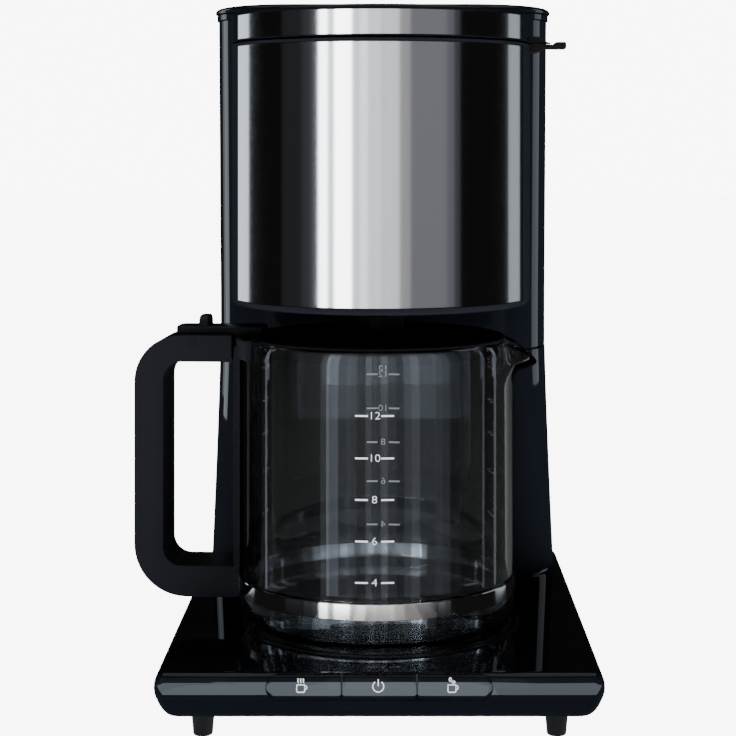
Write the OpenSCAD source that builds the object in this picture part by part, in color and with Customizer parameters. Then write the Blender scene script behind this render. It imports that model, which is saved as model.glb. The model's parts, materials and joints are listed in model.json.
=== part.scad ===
/* [Base] */
// Width of the base across its widest line
base_w = 211.8; // [208:0.2:220]
// Distance from the drum axis to the front of the base
base_front = 96.5; // [95:0.5:104]
// Distance from the drum axis to the back of the tower
tower_back = 170; // [168:1:176]
// Height of the glossy top of the base
base_top = 36.5; // [36:0.1:38]
// Height of the parting line between base cover and tray
parting_z = 23.6; // [23.2:0.1:24]
// Height of the feet under the tray
foot_h = 15.9; // [14:0.1:16]
// Thickness of the moulded walls
wall = 2.5; // [2:0.1:3]

/* [Tower] */
// Half width of the tower at its waist
waist_half_w = 95.5; // [94:0.1:96]
// Half width of the column where it stands on the base
column_foot_half_w = 100.8; // [98:0.1:102]
// Radius of the tower's front corners
corner_r = 46; // [44:1:48]
// Height of the seam between column and upper housing
seam_z = 166; // [164:1:167]
// Top of the upper housing
tower_top = 355.6; // [354:0.1:357]
// Overall height
height = 364; // [362:0.1:366]

/* [Filter drum] */
// Outer radius of the drum and of the head above it
drum_r = 77; // [76.5:0.1:77.2]
// Lower edge of the drum
drum_z0 = 201.9; // [201:0.1:203]
// Upper edge of the drum
drum_z1 = 335.2; // [334:0.1:335.4]
// Top of the fixed head
head_top = 351.2; // [350:0.1:352]
// Half angle of the brushed steel wrap
wrap_half_angle = 68.5; // [60:0.5:75]

/* [Carafe] */
// Outer radius of the glass
glass_r = 70.5; // [69:0.1:71]
// Thickness of the glass
glass_t = 2.6; // [2:0.1:3]
// Height of the glass rim
rim_z = 183; // [182:0.1:184]
// Distance from the carafe axis to the outside of the handle
handle_reach = 124; // [122:1:130]
// Width of the handle
handle_w = 34; // [28:1:36]
// Turn of the carafe on its plate
carafe_turn = 3.5; // [0:0.5:5]
// How far the carafe stands to the left of the middle of its plate
carafe_shift = 1.9; // [0:0.1:2.5]

/* [Hidden] */

$fn = 96;
gap = 0.3;

// the origin is under the middle of the bounding box
hinge_back = 175.2;
hinge_z = 357.4;
knuckle_r = 3.4;
reach_x = carafe_shift + handle_reach * cos(carafe_turn) + handle_w / 2 * sin(carafe_turn);
origin_x = (base_w / 2 - reach_x) / 2;
origin_y = (hinge_back + knuckle_r - base_front) / 2;

// base
pan_floor = foot_h + wall;
cover_ceiling = base_top - wall;
plate_hole_r = 69.5;
screw_x = 88;
screw_y = [-40, 140];
foot_x = 85;
foot_y = [-70, 150];
gland_x = -60;
gland_z = 29.2;
gland_bore_r = 3.2;

// buttons
pill_w = 106;
pill_z0 = 24.5;
pill_z1 = 35.7;
pill_depth = 5;
button_w = 35;
button_travel = 0.8;
board_y = -84;

// tower
tower_front = 89;
corner_y = tower_front + corner_r;
back_r = 18;
upper_half_w = 96.3;
tank_front = 106;
tank_floor = 172;

// hoses
hose_x = 14;
hose_r = 5;
barb_r = 4;
hose_z = 28.8;
bend_r = 10;
riser_y = 98;
inlet_y = 116;
shower_hose_z = 343.2;

// filter drum
hinge_x = -72;
hinge_y = 52;
hinge_dist = sqrt(hinge_x * hinge_x + hinge_y * hinge_y);
hinge_dir = atan2(hinge_y, hinge_x);
ear_z0 = 215;
ear_z1 = 325;
pin_r = 2.5;
running = 0.05;
recess_r = drum_r + 1.5;
infill_z0 = 198;
wrap_t = 1;
wrap_z0 = 205.2;
wrap_z1 = 333.2;
nozzle_z = 188.5;
nozzle_r = 12;
valve_z = 187;

// carafe
carafe_z = 37.5;
plate_top = 37.3;
band_z = [54.5, 62.5];
band_t = 0.8;
grip_t = 15;
arm_top_z = 185.7;
arm_low_z = 51.6;
low_corner_r = 27;
top_corner_r = 24;
post_t = 3.1;
post_r = glass_r + band_t + 0.05;
handle_root = 62;
opening_z = [67.6, 172.1];
opening_r = 9.5;
screw_seat_u = 94;
screw_head_t = 2;
pivot_r = 94.6;
pivot_z = 182.6;
slot_half_w = 9;
tongue_half_w = 8.4;
tongue_z = [184.6, 189.8];
lever_h = 5.3;

BLACK = [0.03, 0.03, 0.035];
MATTE = [0.07, 0.07, 0.07];
STEEL = [0.72, 0.72, 0.73];
BRIGHT = [0.88, 0.88, 0.9];
RUBBER = [0.05, 0.05, 0.05];
SILICONE = [0.85, 0.84, 0.8];
GLASS = [0.8, 0.87, 0.9, 0.35];

// ---------- shared shapes ----------

// rounded rectangle, symmetric in x, from y0 to y1
module slab(half_w, y0, y1, r) {
    translate([-half_w + r, y0]) square([2 * (half_w - r), y1 - y0]);
    translate([-half_w, y0 + r]) square([2 * half_w, y1 - y0 - 2 * r]);
    for (x = [-1, 1], y = [y0 + r, y1 - r]) translate([x * (half_w - r), y]) circle(r);
}

// plan of the tower, moved inwards by t
module tower_plan(half_w, t = 0) {
    cx = half_w - corner_r;
    intersection() {
        union() {
            translate([-half_w + t, corner_y]) square([2 * (half_w - t), tower_back - corner_y - t]);
            translate([-cx, tower_front + t]) square([2 * cx, tower_back - tower_front - 2 * t]);
            for (x = [-cx, cx]) translate([x, corner_y]) circle(corner_r - t);
        }
        slab(half_w - t, tower_front - back_r, tower_back - t, back_r - t);
    }
}

// plan of the filled space between drum and tower, moved inwards by t
module infill_plan(t = 0) {
    side = 80 - t;
    difference() {
        polygon([
            [-84 + t, 104], [-side, 61 + t], [-66, 61 + t], [-66, 40], [side - 1.5, 30 + t],
            [84 - t, 104]
        ]);
        circle(recess_r + t);
        // the drum sweeps up to this tangent as it leaves
        translate([hinge_x, hinge_y]) rotate(24.3) translate([-2, -60]) square([46.2, 61.6 + t]);
        translate([hinge_x, hinge_y]) circle(7.5 + t);
    }
}

// ring between two radii over a height
module ring(r_in, r_out, z0, z1) {
    translate([0, 0, z0]) difference() {
        cylinder(r = r_out, h = z1 - z0);
        translate([0, 0, -1]) cylinder(r = r_in, h = z1 - z0 + 2);
    }
}

// part ring, centred on the -Y direction
module front_sector(r_in, r_out, z0, z1, half_angle) {
    rotate([0, 0, -90 - half_angle]) rotate_extrude(angle = 2 * half_angle)
        translate([r_in, z0]) square([r_out - r_in, z1 - z0]);
}

// pill in the XZ plane, from y0 backwards over depth
module pill(half_w, z0, z1, y0, depth) {
    r = (z1 - z0) / 2;
    translate([0, y0 + depth, z0 + r]) rotate([90, 0, 0]) linear_extrude(depth) {
        square([2 * (half_w - r), 2 * r], center = true);
        for (x = [-1, 1]) translate([x * (half_w - r), 0]) circle(r);
    }
}

module hose_section() {
    difference() {
        circle(hose_r, $fn = 48);
        circle(barb_r, $fn = 48);
    }
}

module hose_bend() {
    rotate_extrude(angle = 90) translate([bend_r, 0]) hose_section();
}

module hose_run(from, length, turn) {
    translate(from) rotate(turn) linear_extrude(length) hose_section();
}

// ---------- base ----------

module base_bottom_pan() {
    color(BLACK) difference() {
        hull() {
            translate([0, 0, foot_h]) linear_extrude(0.2)
                slab(base_w / 2 - 8, -base_front + 8, tower_back - 6, 6, $fn = 32);
            translate([0, 0, foot_h + 2.5]) linear_extrude(0.2)
                slab(base_w / 2 - 4.2, -base_front + 4, tower_back - 2.5, 6, $fn = 32);
            translate([0, 0, parting_z - 0.2]) linear_extrude(0.2)
                slab(base_w / 2 - 1.3, -base_front + 1.2, tower_back - 0.5, 5, $fn = 32);
        }
        translate([0, 0, pan_floor]) linear_extrude(10)
            slab(base_w / 2 - 7.4, -base_front + 8.5, tower_back - 8, 5);
        for (x = [-foot_x, foot_x], y = foot_y) translate([x, y, foot_h - 1])
            cylinder(r = 3, h = 5);
        for (x = [-screw_x, screw_x], y = screw_y) translate([x, y, foot_h - 1]) {
            cylinder(r = 3.4, h = 2.2);
            cylinder(r = 1.7, h = 6);
        }
    }
}

module base_top_cover() {
    color(BLACK) difference() {
        union() {
            difference() {
                hull() {
                    translate([0, 0, parting_z]) linear_extrude(0.2)
                        slab(base_w / 2 - 1.3, -base_front + 1.2, tower_back - 0.5, 5, $fn = 32);
                    translate([0, 0, parting_z + 5.4]) linear_extrude(0.2)
                        slab(base_w / 2, -base_front, tower_back, 5, $fn = 32);
                    translate([0, 0, base_top - 0.2]) linear_extrude(0.2)
                        slab(base_w / 2 - 2.2, -base_front + 3, tower_back - 0.5, 4, $fn = 32);
                }
                translate([0, 0, parting_z - 1]) linear_extrude(cover_ceiling - parting_z + 1)
                    slab(base_w / 2 - 4, -base_front + 5, tower_back - 4, 4);
            }
            for (x = [-screw_x, screw_x], y = screw_y) translate([x, y, pan_floor + 0.2])
                cylinder(r = 4, h = cover_ceiling - pan_floor + 1);
        }
        translate([0, 0, 20]) cylinder(r = plate_hole_r, h = 30);
        for (x = [-screw_x, screw_x], y = screw_y) translate([x, y, pan_floor - 1])
            cylinder(r = 1.52, h = 12);
        // hose passage under the column
        translate([-24, 90.5, 20]) cube([48, 34.5, 30]);
        pill(pill_w / 2 + gap, pill_z0 - gap, pill_z1 + gap, -base_front - 1, pill_depth + 1.2);
        translate([gland_x, tower_back - 8, gland_z]) rotate([-90, 0, 0])
            cylinder(r = barb_r + 0.6, h = 12);
    }
}

module rubber_feet() {
    color(RUBBER) for (x = [-foot_x, foot_x], y = foot_y) translate([x, y, 0])
        rotate_extrude() polygon([
            [0, 0], [4.3, 0], [4.75, 0.6], [5.75, foot_h], [2.9, foot_h], [2.9, 20], [0, 20]
        ]);
}

module base_screws() {
    color(STEEL) for (x = [-screw_x, screw_x], y = screw_y) translate([x, y, foot_h + 0.1])
        difference() {
            union() {
                cylinder(r = 3.2, h = 1.1);
                cylinder(r = 1.5, h = 12);
            }
            // cross recess
            for (a = [0, 90]) rotate(a) translate([-1.8, -0.35, -1]) cube([3.6, 0.7, 1.8]);
        }
}

module cord_gland() {
    color(RUBBER) translate([gland_x, tower_back, gland_z]) rotate([-90, 0, 0])
        rotate_extrude() polygon([
            [gland_bore_r, -6], [barb_r + 0.6, -6], [barb_r + 0.6, 0], [5.2, 0], [5.2, 1.4],
            [4.8, 2], [gland_bore_r, 2]
        ]);
}

module warming_plate() {
    color([0.05, 0.05, 0.055]) rotate_extrude() polygon([
        [0, plate_top - 1.5], [66, plate_top - 1.5], [66, 34.6], [67.6, 34.6],
        [67.6, plate_top - 1.2], [67.2, plate_top - 0.4], [66.4, plate_top], [0, plate_top]
    ]);
}

module plate_seal() {
    color(RUBBER) rotate_extrude() polygon([
        [67.6, 34.3], [69.4, 34.3], [69.4, base_top], [71.6, base_top], [71.6, base_top + 0.3],
        [71.2, base_top + 0.6], [67.6, base_top + 0.6]
    ]);
}

// ---------- heater and electrics ----------

// open ring with its gap at the back, swept from a circle of radius r
module open_tube(ring_r, r, z) {
    half_gap = asin(hose_x / ring_r);
    rotate([0, 0, 90 + half_gap]) rotate_extrude(angle = 360 - 2 * half_gap)
        translate([ring_r, z]) circle(r, $fn = 48);
}

module heat_spreader() {
    color([0.75, 0.75, 0.76]) rotate([0, 0, 110]) rotate_extrude(angle = 320)
        translate([40, hose_z + barb_r]) square([20, 2.9]);
}

module heating_tube() {
    ring_r = 45;
    end_y = sqrt(ring_r * ring_r - hose_x * hose_x);
    color([0.45, 0.42, 0.4]) {
        open_tube(ring_r, 3.9, hose_z);
        // ceramic ends
        for (x = [-hose_x, hose_x]) translate([x, end_y - 1, hose_z]) rotate([-90, 0, 0])
            cylinder(r = 3, h = 5);
    }
}

module water_tube() {
    ring_r = 54;
    end_y = sqrt(ring_r * ring_r - hose_x * hose_x);
    color([0.8, 0.8, 0.82]) difference() {
        union() {
            open_tube(ring_r, barb_r, hose_z);
            for (x = [-hose_x, hose_x]) translate([x, end_y - 2, hose_z]) rotate([-90, 0, 0])
                cylinder(r = barb_r, h = 14);
        }
        open_tube(ring_r, 2.6, hose_z);
        for (x = [-hose_x, hose_x]) translate([x, end_y - 2, hose_z]) rotate([-90, 0, 0])
            cylinder(r = 2.6, h = 15);
    }
}

module heater_clamp() {
    color(STEEL) difference() {
        translate([-62, -6, 23.2]) cube([124, 12, 1.5]);
        translate([0, 0, 20]) cylinder(r = 2, h = 10);
    }
}

module thermostat() {
    color([0.2, 0.2, 0.22]) {
        translate([0, 0, 27]) cylinder(r = 8.5, h = plate_top - 1.6 - 27);
        for (x = [-5, 5]) translate([x - 1.5, -0.4, 25]) cube([3, 0.8, 3]);
    }
}

module thermal_fuses() {
    color([0.9, 0.88, 0.8]) for (x = [-18, 18]) translate([x, -24, 30]) rotate([0, 90, 0]) {
        translate([0, 0, -7]) cylinder(r = 2.4, h = 14);
        translate([0, 0, -12]) cylinder(r = 0.5, h = 24);
    }
}

module control_board() {
    color([0.1, 0.35, 0.15]) translate([-56, board_y, 19]) cube([112, 1.6, 14.5]);
}

module button_switches() {
    color([0.15, 0.15, 0.16]) for (i = [-1, 0, 1]) translate([i * button_w, board_y, 30]) {
        translate([-3, -3.4, -3]) cube([6, 3.4, 6]);
        rotate([90, 0, 0]) cylinder(r = 1.7, h = 4.2);
    }
}

// ---------- buttons ----------

// one third of the pill row: the caps of the row share its outline
module button_cap(index) {
    intersection() {
        pill(pill_w / 2, pill_z0, pill_z1, -base_front - 0.1, pill_depth - 1);
        translate([index * 60 - (index == 0 ? button_w / 2 : 0), -120, 0])
            mirror([index > 0 ? 1 : 0, 0, 0])
            cube([index == 0 ? button_w : 60 - button_w / 2 - gap, 60, 60]);
    }
    // stem that presses the switch, with a web up to the cap
    stem_y = -base_front + pill_depth - 1.2;
    translate([index * button_w - 2, stem_y, 28]) cube([4, board_y - 4.2 - 0.9 - stem_y, 4]);
}

module button_keep_warm() { color(BLACK) button_cap(-1); }
module button_power() { color(BLACK) button_cap(0); }
module button_aroma() { color(BLACK) button_cap(1); }

// ---------- tower ----------

module lower_column() {
    color(BLACK) difference() {
        hull() {
            translate([0, 0, base_top]) linear_extrude(0.2)
                tower_plan(column_foot_half_w, $fn = 32);
            translate([0, 0, seam_z - 0.4]) linear_extrude(0.2) tower_plan(waist_half_w, $fn = 32);
        }
        translate([0, 0, base_top - 1]) linear_extrude(seam_z)
            tower_plan(waist_half_w, wall + 0.5);
    }
}

// shallow panel on the front of the column, behind the carafe
module column_front_panel() {
    color(BLACK) translate([0, 0, base_top + 0.1]) linear_extrude(infill_z0 - base_top - 0.3)
        difference() {
            translate([-64, tower_front - 1.6]) square([128, 20]);
            tower_plan(column_foot_half_w + 0.1, -0.05);
            translate([-48, tower_front - 0.05]) square([96, 30]);
        }
}

module upper_housing() {
    color(BLACK) difference() {
        union() {
            translate([0, 0, seam_z]) linear_extrude(tower_top - seam_z) tower_plan(upper_half_w);
            translate([0, 0, infill_z0]) linear_extrude(drum_z1 - infill_z0 + 0.3) infill_plan();
            // two ears that hold the drum's hinge pin
            for (z = [[205, ear_z0 - 1], [ear_z1 + 1, 334]]) translate([hinge_x, hinge_y, z[0]]) {
                cylinder(r = 6, h = z[1] - z[0]);
                translate([-6, 0, 0]) cube([12, 14, z[1] - z[0]]);
            }
        }
        translate([0, 0, seam_z + wall]) linear_extrude(tower_top)
            tower_plan(upper_half_w, wall + 0.5);
        difference() {
            translate([0, 0, infill_z0 + wall]) linear_extrude(drum_z1) infill_plan(wall);
            linear_extrude(500) tower_plan(upper_half_w);
            translate([hinge_x - 12, hinge_y - 5, 190]) cube([26, 25, 26]);
            translate([hinge_x - 12, hinge_y - 5, ear_z1 - 2]) cube([26, 25, 26]);
        }
        // hinge pin bores
        translate([hinge_x, hinge_y, 203]) cylinder(r = pin_r, h = 140);
        // hose and tank spigot passages
        translate([hose_x, riser_y, seam_z - 1]) cylinder(r = hose_r + 0.5, h = 6);
        translate([-hose_x, inlet_y, seam_z - 1]) cylinder(r = 8, h = 6);
        translate([hose_x, tower_front - 4, shower_hose_z - 0.5]) rotate([-90, 0, 0])
            cylinder(r = hose_r + 1.2, h = 10);
    }
}

module water_tank() {
    color([0.25, 0.25, 0.27]) difference() {
        union() {
            translate([0, 0, tank_floor]) linear_extrude(tower_top - tank_floor - 0.4)
                intersection() {
                    tower_plan(upper_half_w, 3.4);
                    translate([-100, tank_front]) square([200, 100]);
                }
            translate([-hose_x, inlet_y, 158]) cylinder(r = barb_r, h = 16);
        }
        translate([0, 0, tank_floor + 2]) linear_extrude(tower_top)
            intersection() {
                tower_plan(upper_half_w, 5.4);
                translate([-100, tank_front + 2]) square([200, 100]);
            }
        translate([-hose_x, inlet_y, 150]) cylinder(r = 2.8, h = 30);
    }
}

// band between housing and lid; carries the outer knuckles of the lid hinge
module tank_collar() {
    color(BLACK) difference() {
        union() {
            translate([0, 0, tower_top]) linear_extrude(3.4) tower_plan(97.5, -1);
            for (x = [-60, 60]) translate([x - 5, 0, 0]) knuckle(10, true);
        }
        translate([0, 0, tower_top - 1]) linear_extrude(6) tower_plan(97.5, 9);
        hinge_bore();
    }
}

// hinge knuckle on the back edge, with its web reaching forwards
module knuckle(length, low) {
    translate([0, hinge_back, hinge_z]) rotate([0, 90, 0]) cylinder(r = knuckle_r, h = length);
    web_z = low ? tower_top : tower_top + 3.8;
    translate([0, hinge_back - 6, web_z]) cube([length, 6, low ? 3.4 : 1.6]);
}

module hinge_bore() {
    translate([-80, hinge_back, hinge_z]) rotate([0, 90, 0]) cylinder(r = 1.5, h = 160);
}

module tank_hinge_pin() {
    color(STEEL) for (x = [-60, 60]) translate([x - 13, hinge_back, hinge_z])
        rotate([0, 90, 0]) cylinder(r = 1.5, h = 26);
}

module tank_lid() {
    lid_z = tower_top + 3.8;
    color(BLACK) difference() {
        union() {
            translate([0, 0, lid_z]) linear_extrude(height - lid_z - 1) tower_plan(98.5, -2);
            translate([0, 0, lid_z]) linear_extrude(height - lid_z) tower_plan(98.5, -1);
            for (x = [-72.4, -54.6, 47.6, 65.4]) translate([x, 0, 0]) knuckle(7, false);
        }
        translate([0, 0, lid_z - 1]) linear_extrude(height - lid_z - 1.2) tower_plan(98.5, 3);
        translate([-80, hinge_back, hinge_z]) rotate([0, 90, 0])
            cylinder(r = 1.5 + running, h = 160);
    }
}

// ---------- water path ----------

module check_valve() {
    color([0.9, 0.9, 0.88]) translate([-hose_x, inlet_y, 0]) difference() {
        union() {
            translate([0, 0, 146]) cylinder(r = 7, h = 19);
            translate([0, 0, 138]) cylinder(r = barb_r, h = 9);
        }
        translate([0, 0, 158]) cylinder(r = barb_r, h = 10);
        translate([0, 0, 130]) cylinder(r = 2.6, h = 40);
    }
}

module inlet_hose() {
    start_y = 60;
    color(SILICONE) {
        hose_run([-hose_x, start_y, hose_z], inlet_y - bend_r - start_y, [-90, 0, 0]);
        translate([-hose_x, inlet_y - bend_r, hose_z + bend_r]) rotate([0, 90, 0]) hose_bend();
        hose_run([-hose_x, inlet_y, hose_z + bend_r], 146 - hose_z - bend_r, [0, 0, 0]);
    }
}

module riser_hose() {
    start_y = 60;
    end_y = 14;
    color(SILICONE) {
        hose_run([hose_x, start_y, hose_z], riser_y - bend_r - start_y, [-90, 0, 0]);
        translate([hose_x, riser_y - bend_r, hose_z + bend_r]) rotate([0, 90, 0]) hose_bend();
        hose_run([hose_x, riser_y, hose_z + bend_r],
            shower_hose_z - hose_z - 2 * bend_r, [0, 0, 0]);
        translate([hose_x, riser_y - bend_r, shower_hose_z - bend_r]) rotate([90, 0, 90])
            hose_bend();
        hose_run([hose_x, end_y, shower_hose_z], riser_y - bend_r - end_y, [-90, 0, 0]);
    }
}

module hose_clamps() {
    color(STEEL) {
        for (x = [-hose_x, hose_x]) translate([x, 61.5, hose_z]) rotate([-90, 0, 0])
            ring(hose_r, hose_r + 0.5, 0, 4);
        translate([-hose_x, inlet_y, 0]) ring(hose_r, hose_r + 0.5, 140, 144);
        translate([hose_x, 0, shower_hose_z]) rotate([-90, 0, 0])
            ring(hose_r, hose_r + 0.5, 17, 21);
    }
}

// ---------- fixed head ----------

module head_cover() {
    z0 = drum_z1 + 0.6;
    edge = 2.5;
    top_t = 2.2;
    color(BLACK) difference() {
        union() {
            rotate_extrude() {
                translate([0, z0]) square([drum_r, head_top - z0 - edge]);
                translate([0, z0]) square([drum_r - edge, head_top - z0]);
                intersection() {
                    translate([drum_r - edge, head_top - edge]) circle(edge);
                    translate([drum_r - edge, z0]) square([edge, head_top - z0]);
                }
            }
            translate([0, 0, z0]) linear_extrude(head_top - z0) difference() {
                neck_plan();
                tower_plan(upper_half_w);
            }
        }
        translate([0, 0, z0 - 1])
            cylinder(r = drum_r - wrap_t - wall, h = head_top - z0 - top_t + 1);
        translate([0, 0, z0 - 1]) linear_extrude(head_top - z0 - top_t + 1) difference() {
            neck_plan(wall);
            tower_plan(upper_half_w, -wall);
        }
        // seat of the steel band
        front_sector(drum_r - wrap_t, drum_r + 2, 336.5, head_top - edge, wrap_half_angle);
        translate([hose_x, 60, shower_hose_z]) rotate([-90, 0, 0]) cylinder(r = 5.4, h = 40);
    }
}

// neck of the head: the infill without the space that the drum needs
module neck_plan(t = 0) {
    side = 80 - t;
    polygon([[-84 + t, 104], [-side, 40], [0, 30], [side, 30], [84 - t, 104]]);
}

module head_steel_band() {
    color(STEEL) front_sector(drum_r - wrap_t, drum_r, 336.5, head_top - 2.5, wrap_half_angle);
}

module shower_plate() {
    color(MATTE) difference() {
        union() {
            translate([0, 0, 336.2]) cylinder(r = 73.2, h = 1.4);
            translate([hose_x - 6, -6, 337]) cube([12, 18, 11.4]);
            translate([hose_x, 11, shower_hose_z]) rotate([-90, 0, 0]) cylinder(r = barb_r, h = 14);
        }
        translate([hose_x, -3, shower_hose_z]) rotate([-90, 0, 0]) cylinder(r = 2.6, h = 30);
        translate([hose_x, 1, 330]) cylinder(r = 2, h = 12);
        for (i = [0:11]) rotate([0, 0, i * 30]) translate([i % 2 == 0 ? 22 : 36, 0, 330])
            cylinder(r = 1.5, h = 7);
    }
}

// fixed upper half of the opening tab's root
module tab_keeper() {
    z0 = drum_z1 + 0.6;
    color(MATTE) difference() {
        translate([0, 5, 0]) rotate([90, 0, 0]) linear_extrude(10)
            polygon([[70, z0], [85, z0], [85, z0 + 1], [81.5, 339.4], [70, 339.4]]);
        translate([0, 0, 300]) cylinder(r = drum_r, h = 60);
    }
}

module filter_hinge_pin() {
    color(STEEL) translate([hinge_x, hinge_y, 204]) cylinder(r = pin_r, h = 131);
}

// ---------- swing-out filter ----------

module filter_housing() {
    color(MATTE) difference() {
        union() {
            rotate_extrude() polygon([
                [nozzle_r - 4, nozzle_z], [nozzle_r, nozzle_z], [nozzle_r + 0.6, 195.2],
                [45, drum_z0 - 0.4], [72, drum_z0 - 0.4], [73, drum_z0], [drum_r - 2.4, drum_z0],
                [drum_r, wrap_z0 - 0.6], [drum_r, drum_z1], [73.4, drum_z1], [73.4, 328],
                [70.4, 326],
                [73.4, 323], [73.4, 205.2], [45, 204.4], [nozzle_r - 2.4, 197.8],
                [nozzle_r - 4, 197.8]
            ]);
            // guide for the valve stem
            difference() {
                union() {
                    translate([0, 0, 192.2]) cylinder(r = 4.4, h = 3);
                    for (a = [0, 120, 240]) rotate([0, 0, a]) translate([3, -1, 192.4])
                        cube([6, 2, 2.6]);
                }
                translate([0, 0, 190]) cylinder(r = 2.5 + running, h = 8);
            }
            // hinge barrel and its web
            translate([hinge_x, hinge_y, ear_z0]) cylinder(r = 6, h = ear_z1 - ear_z0);
            rotate([0, 0, hinge_dir]) translate([74.5, -2.5, ear_z0])
                cube([hinge_dist - 74.5 - 3.5, 5, ear_z1 - ear_z0]);
        }
        // seat of the steel wrap
        front_sector(drum_r - wrap_t, drum_r + 2, wrap_z0, wrap_z1, wrap_half_angle);
        translate([hinge_x, hinge_y, ear_z0 - 1]) cylinder(r = pin_r + running, h = 112);
    }
}

module filter_steel_wrap() {
    color(STEEL) front_sector(drum_r - wrap_t, drum_r, wrap_z0, wrap_z1, wrap_half_angle);
}

// side tab that a finger pulls to swing the drum out
module filter_tab() {
    color(MATTE) difference() {
        translate([0, 6, 0]) rotate([90, 0, 0]) linear_extrude(12) polygon([
            [70, 330.7], [80.5, 330.7], [85, 333], [95.7, 333], [95.7, 336.6], [90.4, 336.6],
            [89.4, drum_z1], [70, drum_z1]
        ]);
        translate([0, 0, 300]) cylinder(r = drum_r, h = 60);
    }
}

module filter_basket() {
    color([0.12, 0.12, 0.13]) difference() {
        union() {
            rotate_extrude() polygon([
                [6, 212], [44, 212], [69.6, 326.4], [73, 328.4], [73, 330.4], [68, 330.4],
                [42.4, 214], [6, 214]
            ]);
            // ribs that keep the paper off the wall
            for (i = [0:11]) rotate([0, 0, i * 30]) translate([0, 0.8, 0]) rotate([90, 0, 0])
                linear_extrude(1.6)
                polygon([[41, 213.5], [42.9, 213.5], [66, 318], [64, 318]]);
        }
        translate([0, 0, 200]) cylinder(r = 6, h = 20);
    }
}

module valve_cage() {
    color(MATTE) difference() {
        union() {
            translate([0, 0, 207.5]) cylinder(r = 14, h = 1.8);
            for (a = [60, 180, 300]) rotate([0, 0, a]) translate([11.5, -2, 197])
                cube([2.4, 4, 11]);
        }
        translate([0, 0, 200]) cylinder(r = 3, h = 20);
        // feet follow the cone of the floor
        rotate_extrude() polygon([[11, 190], [16, 190], [16, 199.04], [11, 198.11]]);
    }
}

module drip_valve() {
    color(MATTE) {
        translate([0, 0, valve_z]) cylinder(r = 6, h = 1.6);
        translate([0, 0, valve_z + 1]) cylinder(r = 2.5, h = 11);
        translate([0, 0, 198.3]) cylinder(r = 9, h = 1.4);
        translate([0, 0, 199]) cylinder(r = 2.2, h = 4);
    }
}

module valve_seal() {
    color(RUBBER) ring(2.5, 9, 197.82, 198.3);
}

// compression spring above the valve: a round wire swept along a helix
function coil_point(t, r, turns, z0, z1) =
    [r * cos(360 * turns * t), r * sin(360 * turns * t), z0 + (z1 - z0) * t];

module valve_spring() {
    turns = 4;
    steps = 64;
    coil_r = 4.6;
    wire_r = 0.4;
    z0 = 200.2;
    z1 = 207;
    sides = 6;
    points = [for (i = [0:steps]) let (
            t = i / steps,
            c = coil_point(t, coil_r, turns, z0, z1),
            a = 360 * turns * t
        ) for (k = [0:sides - 1])
            [c[0] + wire_r * cos(360 * k / sides) * cos(a),
             c[1] + wire_r * cos(360 * k / sides) * sin(a),
             c[2] + wire_r * sin(360 * k / sides)]];
    walls = [for (i = [0:steps - 1], k = [0:sides - 1]) let (n = (k + 1) % sides)
        [i * sides + k, i * sides + n, (i + 1) * sides + n, (i + 1) * sides + k]];
    first = [for (k = [sides - 1:-1:0]) k];
    last = [for (k = [0:sides - 1]) steps * sides + k];
    color(STEEL) polyhedron(points, concat(walls, [first, last]));
}

// ---------- carafe ----------

module on_carafe() {
    translate([-carafe_shift, 0, 0]) rotate([0, 0, -carafe_turn]) children();
}

// half section of the solid bounded by the outside, moved inwards by t
module glass_section(t) {
    r = glass_r - t;
    round_r = 12 - t / 2;
    z0 = carafe_z + t;
    translate([0, z0]) square([r - round_r, rim_z - z0]);
    translate([0, z0 + round_r]) square([r, rim_z - z0 - round_r]);
    intersection() {
        translate([r - round_r, z0 + round_r]) circle(round_r);
        translate([0, z0]) square([200, 400]);
    }
}

module carafe_glass() {
    color(GLASS) on_carafe() difference() {
        union() {
            rotate_extrude() glass_section(0);
            hull() {
                translate([54, 0, 166.5]) cylinder(r = 14, h = rim_z - 166.5, $fn = 32);
                translate([62, 0, 171]) cylinder(r = 9, h = rim_z - 171 + 1.5, $fn = 32);
                translate([79.2, 0, 170.5]) cylinder(r = 3.5, h = 3, $fn = 24);
            }
        }
        rotate_extrude() {
            glass_section(glass_t);
            translate([0, rim_z - 1]) square([glass_r - glass_t, 10]);
        }
        hull() {
            translate([50, 0, 171]) cylinder(r = 14, h = 20, $fn = 32);
            translate([60, 0, 174.5]) cylinder(r = 8, h = 20, $fn = 32);
            translate([78.9, 0, 173]) cylinder(r = 1.6, h = 20, $fn = 24);
        }
    }
}

module carafe_band() {
    color(BRIGHT) on_carafe() difference() {
        ring(glass_r, glass_r + band_t, band_z[0], band_z[1]);
        translate([-80, 0, (band_z[0] + band_z[1]) / 2]) rotate([0, 90, 0])
            cylinder(r = 1.6, h = 20);
    }
}

// side view of the two arms and the grip: u is the distance from the carafe axis, up is z
module handle_profile() {
    half = (handle_reach - handle_root) / 2;
    height = arm_top_z - arm_low_z;
    opening_u = handle_reach - grip_t;
    opening_h = opening_z[1] - opening_z[0];
    difference() {
        translate([handle_root + half, arm_low_z]) difference() {
            translate([-half, 0]) square([2 * half, height]);
            corner_cut(half, 0, low_corner_r);
            corner_cut(half, height, top_corner_r);
        }
        // finger opening, rounded towards the grip
        translate([opening_u - 2 * opening_r, 0])
            slab(2 * opening_r, opening_z[0], opening_z[1], opening_r);
        translate([handle_root - 1, opening_z[0]])
            square([opening_u - opening_r - handle_root + 1, opening_h]);
    }
}

// what lies outside a rounded outer corner of radius r at height z
module corner_cut(half_w, z, r) {
    up = z == 0 ? 1 : -1;
    difference() {
        translate([half_w - r, z == 0 ? -1 : z - r]) square([r + 1, r + 1]);
        translate([half_w - r, z + up * r]) circle(r);
    }
}

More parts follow.
